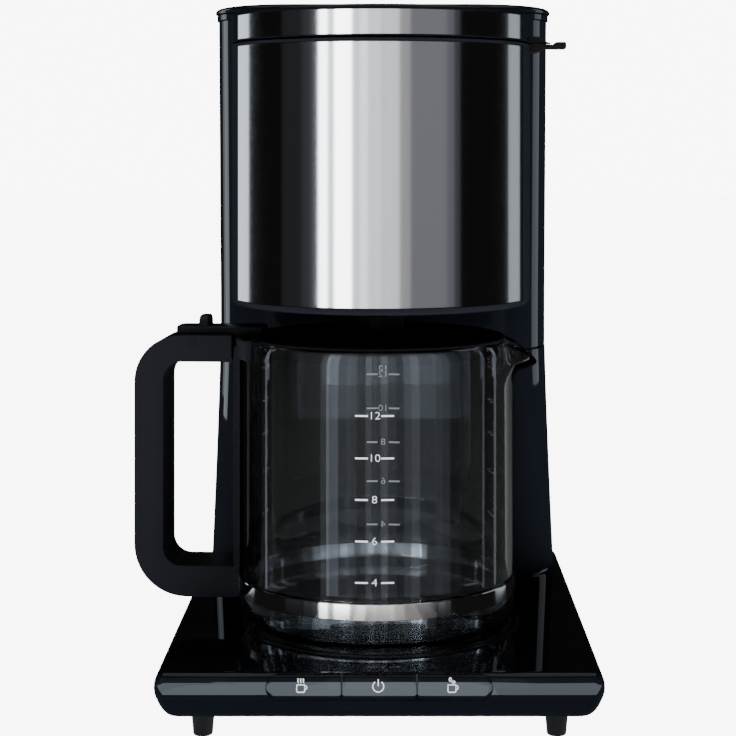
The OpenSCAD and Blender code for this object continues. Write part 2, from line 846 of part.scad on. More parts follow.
module carafe_handle() {
    color(MATTE) on_carafe() difference() {
        union() {
            rotate([0, 0, 180]) translate([0, handle_w / 2, 0]) rotate([90, 0, 0])
                linear_extrude(handle_w) handle_profile();
            // post that follows the glass from arm to arm
            intersection() {
                ring(glass_r, post_r + post_t, arm_low_z, arm_top_z);
                translate([-100, -handle_w / 2, 0]) cube([60, handle_w, height]);
            }
        }
        cylinder(r = post_r, h = height);
        // slot for the tongue of the lid
        translate([-106, -slot_half_w, 177]) cube([60, 2 * slot_half_w, 20]);
        translate([-pivot_r, -20, pivot_z]) rotate([-90, 0, 0]) cylinder(r = 1.5, h = 40);
        // screw that holds the lower arm to the band
        translate([-screw_seat_u - 1, 0, (band_z[0] + band_z[1]) / 2]) rotate([0, 90, 0])
            cylinder(r = 1.5, h = 30);
        translate([-handle_reach - 5, 0, (band_z[0] + band_z[1]) / 2]) rotate([0, 90, 0])
            cylinder(r = 3.2, h = handle_reach + 5 - screw_seat_u);
    }
}

module handle_screw() {
    head_u = screw_seat_u + screw_head_t;
    color(STEEL) on_carafe() translate([-head_u, 0, (band_z[0] + band_z[1]) / 2])
        rotate([0, 90, 0]) {
            cylinder(r = 3, h = screw_head_t);
            cylinder(r = 1.5, h = head_u - glass_r - 0.3);
        }
}

module lid_hinge_pin() {
    color(STEEL) on_carafe() translate([-pivot_r, -handle_w / 2, pivot_z]) rotate([-90, 0, 0])
        cylinder(r = 1.5, h = handle_w);
}

module carafe_lid() {
    color(MATTE) on_carafe() difference() {
        union() {
            rotate_extrude() polygon([
                [0, 177.6], [40, 178], [60, 182], [61.6, 183.4], [66, 183.4], [66.6, 184.4],
                [63, 185.4], [62.4, 186], [60.6, 186], [58, 184.4], [38, 180.2], [0, 179.6]
            ]);
            translate([-104, -tongue_half_w, tongue_z[0]])
                cube([44, 2 * tongue_half_w, tongue_z[1] - tongue_z[0]]);
            translate([-pivot_r, -tongue_half_w, pivot_z]) rotate([-90, 0, 0])
                cylinder(r = 4, h = 2 * tongue_half_w);
        }
        translate([-pivot_r, -20, pivot_z]) rotate([-90, 0, 0]) cylinder(r = 1.5 + running, h = 40);
    }
}

module lid_thumb_lever() {
    color(MATTE) on_carafe() translate([-92, -tongue_half_w, tongue_z[1]])
        cube([5, 2 * tongue_half_w, lever_h]);
}

// ---------- assembly ----------

module place() {
    translate([-origin_x, -origin_y, 0]) children();
}

place() base_bottom_pan();
place() base_top_cover();
place() rubber_feet();
place() base_screws();
place() cord_gland();
place() warming_plate();
place() plate_seal();
place() heat_spreader();
place() heating_tube();
place() water_tube();
place() heater_clamp();
place() thermostat();
place() thermal_fuses();
place() control_board();
place() button_switches();
place() button_keep_warm();
place() button_power();
place() button_aroma();
place() lower_column();
place() column_front_panel();
place() upper_housing();
place() water_tank();
place() tank_collar();
place() tank_lid();
place() tank_hinge_pin();
place() check_valve();
place() inlet_hose();
place() riser_hose();
place() hose_clamps();
place() head_cover();
place() head_steel_band();
place() shower_plate();
place() tab_keeper();
place() filter_hinge_pin();
place() filter_housing();
place() filter_steel_wrap();
place() filter_tab();
place() filter_basket();
place() valve_cage();
place() drip_valve();
place() valve_seal();
place() valve_spring();
place() carafe_glass();
place() carafe_band();
place() carafe_handle();
place() handle_screw();
place() lid_hinge_pin();
place() carafe_lid();
place() lid_thumb_lever();
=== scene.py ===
"""Looks of the drip coffee maker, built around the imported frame.

Lengths in the shape code are millimetres, measured from the drum axis at table height;
mm() turns them into metres in the frame's own place.
"""
import json
import math

import bmesh
import bpy
from mathutils import Matrix, Vector

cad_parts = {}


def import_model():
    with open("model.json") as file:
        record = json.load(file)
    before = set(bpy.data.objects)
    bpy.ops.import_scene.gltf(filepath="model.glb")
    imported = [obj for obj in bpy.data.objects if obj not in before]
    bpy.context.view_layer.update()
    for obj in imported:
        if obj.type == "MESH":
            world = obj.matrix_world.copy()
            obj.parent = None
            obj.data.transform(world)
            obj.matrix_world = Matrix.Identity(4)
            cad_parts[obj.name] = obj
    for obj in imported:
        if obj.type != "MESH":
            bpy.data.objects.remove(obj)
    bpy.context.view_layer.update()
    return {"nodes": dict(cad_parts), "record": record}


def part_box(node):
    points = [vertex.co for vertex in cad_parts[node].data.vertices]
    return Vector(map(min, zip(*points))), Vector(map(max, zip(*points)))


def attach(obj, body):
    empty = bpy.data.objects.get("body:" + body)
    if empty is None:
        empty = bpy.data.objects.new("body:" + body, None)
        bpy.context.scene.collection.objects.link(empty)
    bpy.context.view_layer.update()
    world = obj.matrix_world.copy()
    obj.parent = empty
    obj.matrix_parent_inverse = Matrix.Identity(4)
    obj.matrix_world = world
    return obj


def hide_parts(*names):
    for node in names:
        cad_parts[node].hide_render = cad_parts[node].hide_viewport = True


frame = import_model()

NODE_SLOT = {part["node"]: part["material_slot"] for part in frame["record"]["subparts"]}
NODE_BODY = {node: body for body, nodes in frame["record"]["behaviour"]["bodies"].items()
             for node in nodes}

MM = 0.001
plate_low, plate_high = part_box("warming_plate")
AXIS_X = (plate_low[0] + plate_high[0]) / 2
AXIS_Y = (plate_low[1] + plate_high[1]) / 2
CARAFE_TURN = -3.5
CARAFE_SHIFT = -1.9

# driving sizes, as in the CAD model
DRUM_R = 77.0
WRAP_R = DRUM_R + 0.05
WRAP_ANGLE = 68.5
GLASS_R = 70.5
GLASS_T = 2.6
RIM_Z = 183.0
HANDLE_REACH = 124.0
HANDLE_W = 34.0
BASE_HALF_W = 105.9
BASE_FRONT = -96.5
BASE_TOP = 36.5
TOWER_HALF_W = 95.5
TOP_HALF_W = 96.6
TOWER_TOP = 355.6
TOWER_BACK = 170.0
TOWER_FRONT = 89.0
CORNER_R = 46.0
BACK_R = 18.0
SHELL_INSET = 3.0
SEAM_Z = 166.0
HINGE = (-72.0, 52.0)
TANK_PIN_Y = 175.2
TANK_PIN_Z = 357.4
LID_PIN_U = 94.6
LID_PIN_Z = 182.6
LID_PIN_R = 1.5
# button row: half width, lower and upper edge
PILL = (53.0, 24.5, 35.7)
BUTTON_W = 35.0
BUTTON_PITCH = BUTTON_W + 0.3


def mm(x, y, z):
    return Vector((AXIS_X + x * MM, AXIS_Y + y * MM, z * MM))


def carafe_mm(x, y, z):
    """mm() for the carafe, which stands a little to the left of the drum axis."""
    return mm(x + CARAFE_SHIFT, y, z)


# ---------------------------------------------------------------- mesh helpers

def arc(cx, cy, r, start, end, steps):
    """Points on a circular arc, angles in degrees, both ends included."""
    out = []
    for i in range(steps + 1):
        a = math.radians(start + (end - start) * i / steps)
        out.append((cx + r * math.cos(a), cy + r * math.sin(a)))
    return out


def circle(cx, cy, r, count):
    return arc(cx, cy, r, 0, 360 * (count - 1) / count, count - 1)


def bmesh_from(verts, faces):
    draft = bpy.data.meshes.new("draft")
    draft.from_pydata(verts, [], faces)
    bm = bmesh.new()
    bm.from_mesh(draft)
    bpy.data.meshes.remove(draft)
    return bm


def link_new(name, data):
    obj = bpy.data.objects.new(name, data)
    bpy.context.scene.collection.objects.link(obj)
    return obj


def object_from_bmesh(name, bm, material, body, smooth=32):
    """Joins doubles, points normals outwards and makes a smooth piece that rides on a body."""
    bmesh.ops.remove_doubles(bm, verts=bm.verts, dist=1e-6)
    bmesh.ops.recalc_face_normals(bm, faces=bm.faces)
    mesh = bpy.data.meshes.new(name)
    bm.to_mesh(mesh)
    bm.free()
    shade(mesh, smooth)
    mesh.materials.append(material)
    obj = link_new(name, mesh)
    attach(obj, body)
    return obj


def finish_mesh(name, verts, faces, material, body, smooth=32):
    return object_from_bmesh(name, bmesh_from(verts, faces), material, body, smooth)


def stand_for(obj, node):
    """Shows the piece instead of its CAD node, which it hides."""
    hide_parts(node)
    return obj


def piece(name, shape, material, node, smooth=32):
    """A finished mesh that rides and shows instead of a CAD node."""
    return stand_for(finish_mesh(name, *shape, material, NODE_BODY[node], smooth), node)


def shade(mesh, smooth):
    """Smooth shading, with edges sharper than the angle left crisp."""
    mesh.polygons.foreach_set("use_smooth", [True] * len(mesh.polygons))
    mesh.set_sharp_from_angle(angle=math.radians(smooth))


def revolve(profile, start=0.0, end=360.0, steps=160, turn=0.0, place=mm):
    """Vertices and faces of a closed (r, z) outline turned about the drum or carafe axis."""
    full = abs(end - start - 360.0) < 1e-6
    count = steps if full else steps + 1
    verts, faces = [], []
    n = len(profile)
    for i in range(count):
        a = math.radians(start + (end - start) * i / steps + turn)
        for r, z in profile:
            verts.append(place(r * math.cos(a), r * math.sin(a), z))
    for i in range(steps):
        j = (i + 1) % count
        for k in range(n):
            m = (k + 1) % n
            faces.append((i * n + k, j * n + k, j * n + m, i * n + m))
    if not full:
        faces.append(tuple(range(n)))
        faces.append(tuple((count - 1) * n + k for k in range(n)))
    return verts, faces


def loft(rings, closed=False):
    """Faces between rings of equal length; closed joins the last ring to the first."""
    n = len(rings[0])
    verts = [p for ring in rings for p in ring]
    faces = []
    pairs = len(rings) if closed else len(rings) - 1
    for i in range(pairs):
        j = (i + 1) % len(rings)
        for k in range(n):
            m = (k + 1) % n
            faces.append((i * n + k, i * n + m, j * n + m, j * n + k))
    if not closed:
        faces.append(tuple(range(n)))
        faces.append(tuple((len(rings) - 1) * n + k for k in range(n)))
    return verts, faces


def round_plan(corners):
    """Plan with round corners (centre x, centre y, radius, steps), the front right one first."""
    out = []
    for quarter, (cx, cy, r, steps) in enumerate(corners):
        out += arc(cx, cy, r, 90 * quarter - 90, 90 * quarter, steps)
    return out


def tower_outline(half_w, inset=0.0):
    """Plan of the tower: wide round front corners, tighter back corners."""
    x0, front = half_w - CORNER_R, (TOWER_FRONT + CORNER_R, CORNER_R - inset, 28)
    x1, back = half_w - BACK_R, (TOWER_BACK - BACK_R, BACK_R - inset, 12)
    return round_plan([(x0, *front), (x1, *back), (-x1, *back), (-x0, *front)])


def at_height(outline, z):
    """Ring of an (x, y) outline at a height."""
    return [mm(x, y, z) for x, y in outline]


def apply_modifiers(obj):
    """Replaces the mesh with the one that its modifiers give."""
    depsgraph = bpy.context.evaluated_depsgraph_get()
    mesh = bpy.data.meshes.new_from_object(obj.evaluated_get(depsgraph))
    old = obj.data
    obj.modifiers.clear()
    obj.data = mesh
    mesh.name = old.name
    bpy.data.meshes.remove(old)


def bevel(obj, width, segments=3, angle=40):
    """Rounds the edges sharper than the angle."""
    mod = obj.modifiers.new("bevel", "BEVEL")
    mod.width = width * MM
    mod.segments = segments
    mod.limit_method = "ANGLE"
    mod.angle_limit = math.radians(angle)
    apply_modifiers(obj)
    shade(obj.data, 50)


def cut(obj, verts, faces):
    """Takes a closed shape out of a mesh."""
    bm = bmesh_from(verts, faces)
    bmesh.ops.recalc_face_normals(bm, faces=bm.faces)
    mesh = bpy.data.meshes.new("cutter")
    bm.to_mesh(mesh)
    bm.free()
    cutter = link_new("cutter", mesh)
    mod = obj.modifiers.new("cut", "BOOLEAN")
    mod.operation = "DIFFERENCE"
    mod.solver = "EXACT"
    mod.object = cutter
    apply_modifiers(obj)
    bpy.data.objects.remove(cutter)
    bpy.data.meshes.remove(mesh)
    shade(obj.data, 32)


def extrude_y(outline, y0, y1):
    """Closed prism of an (x, z) outline between two depths."""
    rings = [[mm(x, y, z) for x, z in outline] for y in (y0, y1)]
    return loft(rings)


def extrude_z(outline, z0, z1):
    """Closed prism of an (x, y) outline between two heights."""
    return loft([at_height(outline, z0), at_height(outline, z1)])


def combined(*shapes):
    """Several (vertices, faces) pairs as one."""
    verts, faces = [], []
    for more_verts, more_faces in shapes:
        start = len(verts)
        verts += more_verts
        faces += [tuple(i + start for i in face) for face in more_faces]
    return verts, faces


def moved(shape, x, y):
    verts, faces = shape
    shift = Vector((x * MM, y * MM, 0))
    return [p + shift for p in verts], faces


# ---------------------------------------------------------------- materials

def node_material(name):
    material = bpy.data.materials.new(name)
    material.use_nodes = True
    tree = material.node_tree
    shader = tree.nodes["Principled BSDF"]
    return material, tree, shader


def add_node(tree, kind, values):
    """New shader node; each value is a constant for that input, or a socket to link to it."""
    node = tree.nodes.new("ShaderNode" + kind)
    for label, value in values.items():
        if isinstance(value, bpy.types.NodeSocket):
            tree.links.new(value, node.inputs[label])
        else:
            node.inputs[label].default_value = value
    return node


def texture_point(tree, scale=(1, 1, 1)):
    """Place on the object in metres, stretched by a scale."""
    coords = tree.nodes.new("ShaderNodeTexCoord")
    mapping = add_node(tree, "Mapping", {"Scale": scale, "Vector": coords.outputs["Object"]})
    return mapping.outputs["Vector"]


def noise(tree, point, scale, detail=3.0, roughness=0.5):
    node = add_node(tree, "TexNoise", {"Scale": scale, "Detail": detail, "Roughness": roughness,
                                       "Vector": point})
    return node.outputs["Fac"]


def spread(tree, value, low, high):
    """Stretches the middle of a noise over a range."""
    node = add_node(tree, "MapRange", {"From Min": 0.3, "From Max": 0.7, "To Min": low,
                                       "To Max": high, "Value": value})
    return node.outputs["Result"]


def mix_colours(tree, value, low, high):
    node = tree.nodes.new("ShaderNodeMix")
    node.data_type = "RGBA"
    node.inputs["A"].default_value = (*low, 1)
    node.inputs["B"].default_value = (*high, 1)
    tree.links.new(value, node.inputs["Factor"])
    return node.outputs["Result"]


def vary(tree, shader, value, low, high, rough):
    """Colour and roughness that follow a noise between two values each."""
    tree.links.new(mix_colours(tree, value, low, high), shader.inputs["Base Color"])
    tree.links.new(spread(tree, value, *rough), shader.inputs["Roughness"])


def add_bump(tree, shader, height, strength, distance):
    node = add_node(tree, "Bump", {"Strength": strength, "Distance": distance, "Height": height})
    tree.links.new(node.outputs["Normal"], shader.inputs["Normal"])


def moulded(name, low, high, rough, grain=900.0, grain_depth=0.00002, strength=0.15,
             specular=0.5, painted_glow=0.0):
    """Moulded plastic, rubber or paint: fine grain, and gloss that varies a little; a glow, if
    given, is painted light that makes it shine in its lighter colour as if lit.
    """
    material, tree, shader = node_material(name)
    point = texture_point(tree)
    vary(tree, shader, noise(tree, point, 35.0, 4.0), low, high, rough)
    if strength:
        add_bump(tree, shader, noise(tree, point, grain, 2.0), strength, grain_depth)
    shader.inputs["Specular IOR Level"].default_value = specular
    # painted light: the surface glows in its lighter colour, though no lamp is there
    if painted_glow:
        shader.inputs["Emission Color"].default_value = (*high, 1)
        shader.inputs["Emission Strength"].default_value = painted_glow
    return material


def brushed(name, low, high, rough, streaks):
    """Steel brushed around the drum: streaks run level, so highlights smear upright."""
    material, tree, shader = node_material(name)
    shader.inputs["Metallic"].default_value = 1.0
    shader.inputs["Anisotropic"].default_value = 1.0
    point = texture_point(tree, (9, 9, streaks))
    lines = noise(tree, point, 1.0, 4.0, 0.65)
    vary(tree, shader, lines, low, high, rough)
    upright = add_node(tree, "CombineXYZ", {"Z": 1.0})
    tree.links.new(upright.outputs["Vector"], shader.inputs["Tangent"])
    add_bump(tree, shader, lines, 0.12, 0.00001)
    return material


def metal(name, low, high, rough, strength=0.05):
    """Smooth or cast metal: fine grain, with colour and gloss that vary a little."""
    material, tree, shader = node_material(name)
    shader.inputs["Metallic"].default_value = 1.0
    point = texture_point(tree)
    vary(tree, shader, noise(tree, point, 60.0, 4.0), low, high, rough)
    add_bump(tree, shader, noise(tree, point, 500.0, 2.0), strength, 0.00001)
    return material


def clear_glass(name, tint, rough):
    """Clear glass, a little wavy, with gloss that varies slightly."""
    material, tree, shader = node_material(name)
    cloud = noise(tree, texture_point(tree), 18.0, 2.0)
    tree.links.new(spread(tree, cloud, *rough), shader.inputs["Roughness"])
    shader.inputs["Base Color"].default_value = (*tint, 1)
    shader.inputs["Transmission Weight"].default_value = 1.0
    shader.inputs["IOR"].default_value = 1.5
    waves = noise(tree, texture_point(tree, (1, 1, 0.35)), 22.0, 1.0)
    add_bump(tree, shader, waves, 0.25, 0.0006)
    return material


GLOSS = moulded("gloss_black", (0.002, 0.0026, 0.0038), (0.0032, 0.004, 0.0058), (0.02, 0.05),
                grain=60.0, grain_depth=0.00008, strength=0.02)
SATIN = moulded("satin_black", (0.0035, 0.004, 0.0055), (0.006, 0.007, 0.009), (0.2, 0.28))
MATTE = moulded("matte_black", (0.005, 0.005, 0.006), (0.008, 0.008, 0.009), (0.42, 0.5),
                grain=1500.0, grain_depth=0.00004, strength=0.35, specular=0.3)
GRIP = moulded("grip_black", (0.0055, 0.006, 0.0078), (0.0085, 0.009, 0.0118), (0.36, 0.46),
               grain=1100.0, grain_depth=0.00003, strength=0.3, specular=0.35)
ENAMEL = moulded("plate_coating", (0.004, 0.004, 0.005), (0.008, 0.008, 0.009), (0.1, 0.16),
                 grain=2500.0, strength=0.1)
RUBBER = moulded("black_rubber", (0.008, 0.008, 0.009), (0.014, 0.014, 0.015), (0.5, 0.62),
                 strength=0.3)
SILICONE = moulded("silicone", (0.62, 0.61, 0.58), (0.7, 0.69, 0.66), (0.35, 0.45))
SMOKE = moulded("smoke_plastic", (0.05, 0.05, 0.06), (0.07, 0.07, 0.08), (0.1, 0.16))
WHITE = moulded("white_plastic", (0.7, 0.69, 0.66), (0.78, 0.77, 0.74), (0.35, 0.45))
BOARD = moulded("board_lacquer", (0.01, 0.09, 0.03), (0.015, 0.13, 0.045), (0.25, 0.35))
# white print with a painted glow: the emission stands in for light that doesn't reach the digits
# and icons
PRINT_AND_PAINTED_GLOW = moulded("white_print_and_painted_glow", (0.85, 0.86, 0.88), (0.95, 0.95, 0.96), (0.4, 0.5), strength=0,
                painted_glow=0.3)
BRUSHED = brushed("brushed_steel", (0.54, 0.54, 0.55), (0.6, 0.6, 0.61), (0.17, 0.23), 5200.0)
BRIGHT = metal("bright_steel", (0.72, 0.72, 0.73), (0.82, 0.82, 0.83), (0.05, 0.09))
ALUMINIUM = metal("cast_aluminium", (0.5, 0.5, 0.51), (0.62, 0.62, 0.63), (0.35, 0.5),
                  strength=0.3)
DARK_STEEL = metal("heater_steel", (0.2, 0.18, 0.17), (0.32, 0.3, 0.28), (0.35, 0.5))
GLASS = clear_glass("clear_glass", (0.97, 0.99, 0.99), (0.0, 0.012))

NODE_FINISH = {
    "gloss_black": GLOSS, "matte_black": SATIN, "enamel_black": ENAMEL, "rubber_black": RUBBER,
    "brushed_steel": BRUSHED, "bright_steel": BRIGHT, "aluminium": ALUMINIUM,
    "heater_steel": DARK_STEEL, "glass": GLASS, "smoke_plastic": SMOKE,
    "white_plastic": WHITE, "silicone": SILICONE, "board_green": BOARD,
}
for node, slot in NODE_SLOT.items():
    node_mesh = frame["nodes"][node].data
    node_mesh.materials.clear()
    node_mesh.materials.append(NODE_FINISH[slot])

# ---------------------------------------------------------------- base

# height, inset at the sides, inset at the front
COVER_LEVELS = [
    (23.75, 1.3, 0.25), (25.0, 0.75, 0.07), (27.0, 0.2, 0.0), (29.0, 0.0, 0.0), (31.0, 0.1, 0.07),
    (33.0, 0.55, 0.25), (34.4, 1.1, 0.6), (35.4, 1.6, 1.3), (36.1, 2.1, 2.4), (36.4, 2.55, 3.3),
    (36.5, 3.1, 4.2), (36.5, 3.9, 5.0),
]
PAN_LEVELS = [
    (15.9, 11.0, 4.5), (15.9, 9.6, 2.9), (15.98, 8.6, 2.2), (16.3, 7.3, 1.6), (17.0, 5.9, 1.3),
    (18.4, 4.3, 1.2), (20.4, 2.8, 1.2), (22.2, 1.8, 1.2), (23.3, 1.4, 1.2), (23.45, 1.7, 1.5),
    (23.45, 3.0, 3.0),
]


def base_outline(side, front):
    """Plan of the base, brought in at its sides and its front."""
    r = max(4.5 - 0.1 * side, 1.5)
    x = BASE_HALF_W - side - r
    low, high = BASE_FRONT + front + r, TOWER_BACK - 0.5 * side - r
    return round_plan([(x, low, r, 12), (x, high, r, 12), (-x, high, r, 12), (-x, low, r, 12)])


def front_y(z):
    """Depth of the base's front face at a height."""
    for (z0, _, inset0), (z1, _, inset1) in zip(COVER_LEVELS, COVER_LEVELS[1:]):
        if z0 <= z <= z1 and z1 > z0:
            return BASE_FRONT + inset0 + (inset1 - inset0) * (z - z0) / (z1 - z0)
    return BASE_FRONT


def fill_loops(bm, loops):
    """Triangulates the flat area between an outer loop of vertices and the loops inside it."""
    edges = []
    for loop in loops:
        for k, v in enumerate(loop):
            w = loop[(k + 1) % len(loop)]
            edges.append(bm.edges.get((v, w)) or bm.edges.new((v, w)))
    bmesh.ops.triangle_fill(bm, use_beauty=True, use_dissolve=False, edges=edges)


def bridge(bm, low, high):
    n = len(low)
    for k in range(n):
        m = (k + 1) % n
        bm.faces.new((low[k], low[m], high[m], high[k]))


def base_cover():
    bm = bmesh.new()

    def loop(outline, z):
        return [bm.verts.new(p) for p in at_height(outline, z)]

    rings = [loop(base_outline(side, front), z) for z, side, front in COVER_LEVELS]
    for low, high in zip(rings, rings[1:]):
        bridge(bm, low, high)
    ceiling, hole_r = 34.0, 69.6
    inner_low = loop(base_outline(4.0, 5.2), COVER_LEVELS[0][0])
    inner_high = loop(base_outline(4.0, 5.2), ceiling)
    hole_high = loop(circle(0, 0, hole_r, 128), BASE_TOP)
    hole_low = loop(circle(0, 0, hole_r, 128), ceiling)
    bridge(bm, rings[0], inner_low)
    bridge(bm, inner_low, inner_high)
    bridge(bm, hole_low, hole_high)
    fill_loops(bm, [rings[-1], hole_high])
    fill_loops(bm, [inner_high, hole_low])
    cover = object_from_bmesh("base_cover_shell", bm, GLOSS, "housing")
    half_w, z0, z1 = PILL
    gap = 0.25
    window = pill_outline(half_w + gap, z0 - gap, z1 + gap)
    cut(cover, *extrude_y(window, BASE_FRONT - 4.5, BASE_FRONT + 5.1))
    stand_for(cover, "base_top_cover")


def pill_outline(half_w, z0, z1, steps=16):
    """Oblong with round ends, as (x, z) points."""
    r = (z1 - z0) / 2
    mid = (z0 + z1) / 2
    return arc(half_w - r, mid, r, -90, 90, steps) + arc(-half_w + r, mid, r, 90, 270, steps)


def base_pan():
    rings = [at_height(base_outline(side, front), z) for z, side, front in PAN_LEVELS]
    piece("base_pan_shell", loft(rings), GLOSS, "base_bottom_pan")


def feet():
    profile = [(0.0, 0.0), (3.6, 0.0)] + arc(3.6, 1.2, 1.2, -80, -5, 5) + [
        (5.0, 4.0), (5.45, 9.0), (5.75, 15.6), (5.75, 16.2), (0.0, 16.2)]
    foot = revolve(profile, steps=40)
    four = [moved(foot, x, y) for x in (-85, 85) for y in (-70, 150)]
    piece("rubber_pads", combined(*four), RUBBER, "rubber_feet")


def warming_plate():
    profile = [(0, 35.8), (66, 35.8), (66, 34.6), (67.6, 34.6), (67.6, 36.1)]
    profile += arc(66.4, 36.1, 1.2, 0, 90, 6) + [(64.5, 37.3), (63.8, 37.15), (0, 37.15)]
    piece("hot_plate", revolve(profile, steps=192), ENAMEL, "warming_plate")
    ring = [(67.6, 34.3), (69.4, 34.3), (69.4, 36.5), (71.2, 36.5), (71.5, 36.6)]
    ring += arc(70.9, 36.55, 0.55, 20, 90, 4) + [(68.2, 37.1), (67.6, 36.9)]
    piece("plate_seal_ring", revolve(ring, steps=192), SATIN, "plate_seal")


# ---------------------------------------------------------------- buttons and icons

# how far a button's face stands proud, how wide its rim rolls back, depth of its back
BUTTON_PROUD = 0.05
BUTTON_ROLL = 0.45
BUTTON_BACK = -92.7


def button_rows(index, rows=24, columns=20):
    """Rows of x positions and a height for one third of the pill, closer near the rims."""
    half_w, z0, z1 = PILL
    mid, r = (z0 + z1) / 2, (z1 - z0) / 2
    left = -half_w if index < 0 else index * BUTTON_PITCH - BUTTON_W / 2
    right = half_w if index > 0 else index * BUTTON_PITCH + BUTTON_W / 2
    out = []
    for i in range(rows + 1):
        a = math.pi * i / rows
        reach = half_w - r + r * math.sin(a)
        x_low, x_high = max(left, -reach), min(right, reach)
        xs = [(x_low + x_high) / 2 - (x_high - x_low) / 2 * math.cos(math.pi * j / columns)
              for j in range(columns + 1)]
        out.append((xs, mid - r * math.cos(a)))
    return out


def face_y(x, z, x_low, x_high):
    """Depth of a button's face: it follows the base's front and rolls back near its rim."""
    half_w, z0, z1 = PILL
    near = min(x - x_low, x_high - x)
    near = min(near, z - z0 if abs(x) < half_w - (z1 - z0) / 2 else near, z1 - z)
    near = max(near, 0.0)
    roll = BUTTON_ROLL * max(0.0, 1 - near / BUTTON_ROLL) ** 2
    return front_y(min(max(z, z0 + BUTTON_PROUD), z1)) + roll - BUTTON_PROUD


def rim(grid):
    """Outer loop of a grid of vertices."""
    return (grid[0] + [row[-1] for row in grid[1:]] + grid[-1][-2::-1]
            + [row[0] for row in grid[-2:0:-1]])


def button(name, index):
    bm = bmesh.new()
    front, back = [], []
    for xs, z in button_rows(index):
        front.append([bm.verts.new(mm(x, face_y(x, z, xs[0], xs[-1]), z)) for x in xs])
        back.append([bm.verts.new(mm(x, BUTTON_BACK, z)) for x in xs])
    for i in range(len(front) - 1):
        for j in range(len(front[0]) - 1):
            bm.faces.new((front[i][j], front[i][j + 1], front[i + 1][j + 1], front[i + 1][j]))
            bm.faces.new((back[i][j], back[i + 1][j], back[i + 1][j + 1], back[i][j + 1]))
    bridge(bm, rim(front), rim(back))
    node = "button_" + name
    stand_for(object_from_bmesh("cap_" + name, bm, GLOSS, NODE_BODY[node], 40), node)


def stroke(points, width, closed):
    """Flat ribbon along (x, z) points, as pairs of edge points."""
    out = []
    n = len(points)
    for i, (x, z) in enumerate(points):
        if closed:
            before, after = points[i - 1], points[(i + 1) % n]
        else:
            before, after = points[max(i - 1, 0)], points[min(i + 1, n - 1)]
        dx, dz = after[0] - before[0], after[1] - before[1]
        size = math.hypot(dx, dz) or 1
        nx, nz = -dz / size * width / 2, dx / size * width / 2
        out.append(((x + nx, z + nz), (x - nx, z - nz)))
    return out


def icon(name, strokes, cx, cz):
    """White print on a button: ribbons laid on its face, a few hundredths thick."""
    top, bottom = 0.09, 0.03
    verts, faces = [], []
    for points, width, closed in strokes:
        ribbon = stroke(points, width, closed)
        start = len(verts)
        for pair in ribbon:
            for lift in (top, bottom):
                for x, z in pair:
                    verts.append(mm(cx + x, front_y(cz + z) - BUTTON_PROUD - lift, cz + z))
        n = len(ribbon)
        for i in range(n if closed else n - 1):
            a, b = start + 4 * i, start + 4 * ((i + 1) % n)
            faces += [(a, a + 1, b + 1, b), (a + 2, b + 2, b + 3, a + 3),
                      (a, b, b + 2, a + 2), (a + 1, a + 3, b + 3, b + 1)]
        if not closed:
            for a in (start, start + 4 * (n - 1)):
                faces.append((a, a + 1, a + 3, a + 2))
    obj = finish_mesh("icon_" + name, verts, faces, PRINT_AND_PAINTED_GLOW, NODE_BODY["button_" + name])


def ellipse(cx, cz, rx, rz, steps=14):
    angles = [2 * math.pi * k / steps for k in range(steps)]
    return [(cx + rx * math.cos(a), cz + rz * math.sin(a)) for a in angles]


def cup_strokes(steam):
    """A cup with a handle; steam above it, or two beans."""
    cup = [(-1.85, 1.7), (-1.85, -1.0)] + arc(-1.15, -1.0, 0.7, 180, 270, 5) + \
        arc(1.15, -1.0, 0.7, 270, 360, 5) + [(1.85, 1.7)]
    strokes = [(cup, 0.55, True), (arc(1.95, 0.5, 0.95, 85, -85, 12), 0.45, False)]
    if steam:
        for x in (-1.25, 0.0, 1.25):
            wave = [(x + 0.2 * math.sin(k * 1.05), 2.55 + 0.19 * k) for k in range(12)]
            strokes.append((wave, 0.42, False))
    else:
        strokes.append((ellipse(-0.75, 4.1, 0.5, 0.75), 0.42, True))
        strokes.append((ellipse(0.75, 3.0, 0.7, 0.48), 0.42, True))
    return strokes


def buttons():
    power = [(arc(0, 0, 2.55, 126, 414, 32), 0.5, False),
             ([(0, 0.2), (0, 1.2), (0, 2.2), (0, 3.2)], 0.5, False)]
    for name, index, icon_x, icon_z, strokes in (
            ("keep_warm", -1, -1.4, 29.7, cup_strokes(True)), ("power", 0, -0.5, 30.7, power),
            ("aroma", 1, -1.4, 29.7, cup_strokes(False))):
        button(name, index)
        icon(name, strokes, index * BUTTON_PITCH + icon_x, icon_z)


# ---------------------------------------------------------------- tower

def column_half_w(z):
    """The column flares smoothly towards the base."""
    return TOWER_HALF_W + 5.2 * (max(0.0, 175 - z) / 138.5) ** 1.25


def housing_half_w(z):
    """The housing widens a little towards its top."""
    return TOWER_HALF_W + (TOP_HALF_W - TOWER_HALF_W) * max(0.0, z - 190) / (TOWER_TOP - 190)


def tower_rings(half_w_at, start, end, steps, first=0):
    """Rings of the tower's plan at even steps of height."""
    heights = [start + (end - start) * i / steps for i in range(first, steps + 1)]
    return [at_height(tower_outline(half_w_at(z)), z) for z in heights]


def lower_column():
    foot = [(BASE_TOP, 1.1), (36.7, 0.6), (37.1, 0.25), (37.8, 0.05), (38.6, 0)]
    rings = [at_height(tower_outline(column_half_w(z), -out), z) for z, out in foot]
    rings += tower_rings(column_half_w, foot[-1][0], SEAM_Z - 0.8, 16, first=1)
    top = SEAM_Z - 0.4
    for inset, z in ((0.35, top), (SHELL_INSET, top), (SHELL_INSET, BASE_TOP)):
        rings.append(at_height(tower_outline(TOWER_HALF_W, inset), z))
    piece("column_shell", loft(rings, closed=True), GLOSS, "lower_column")


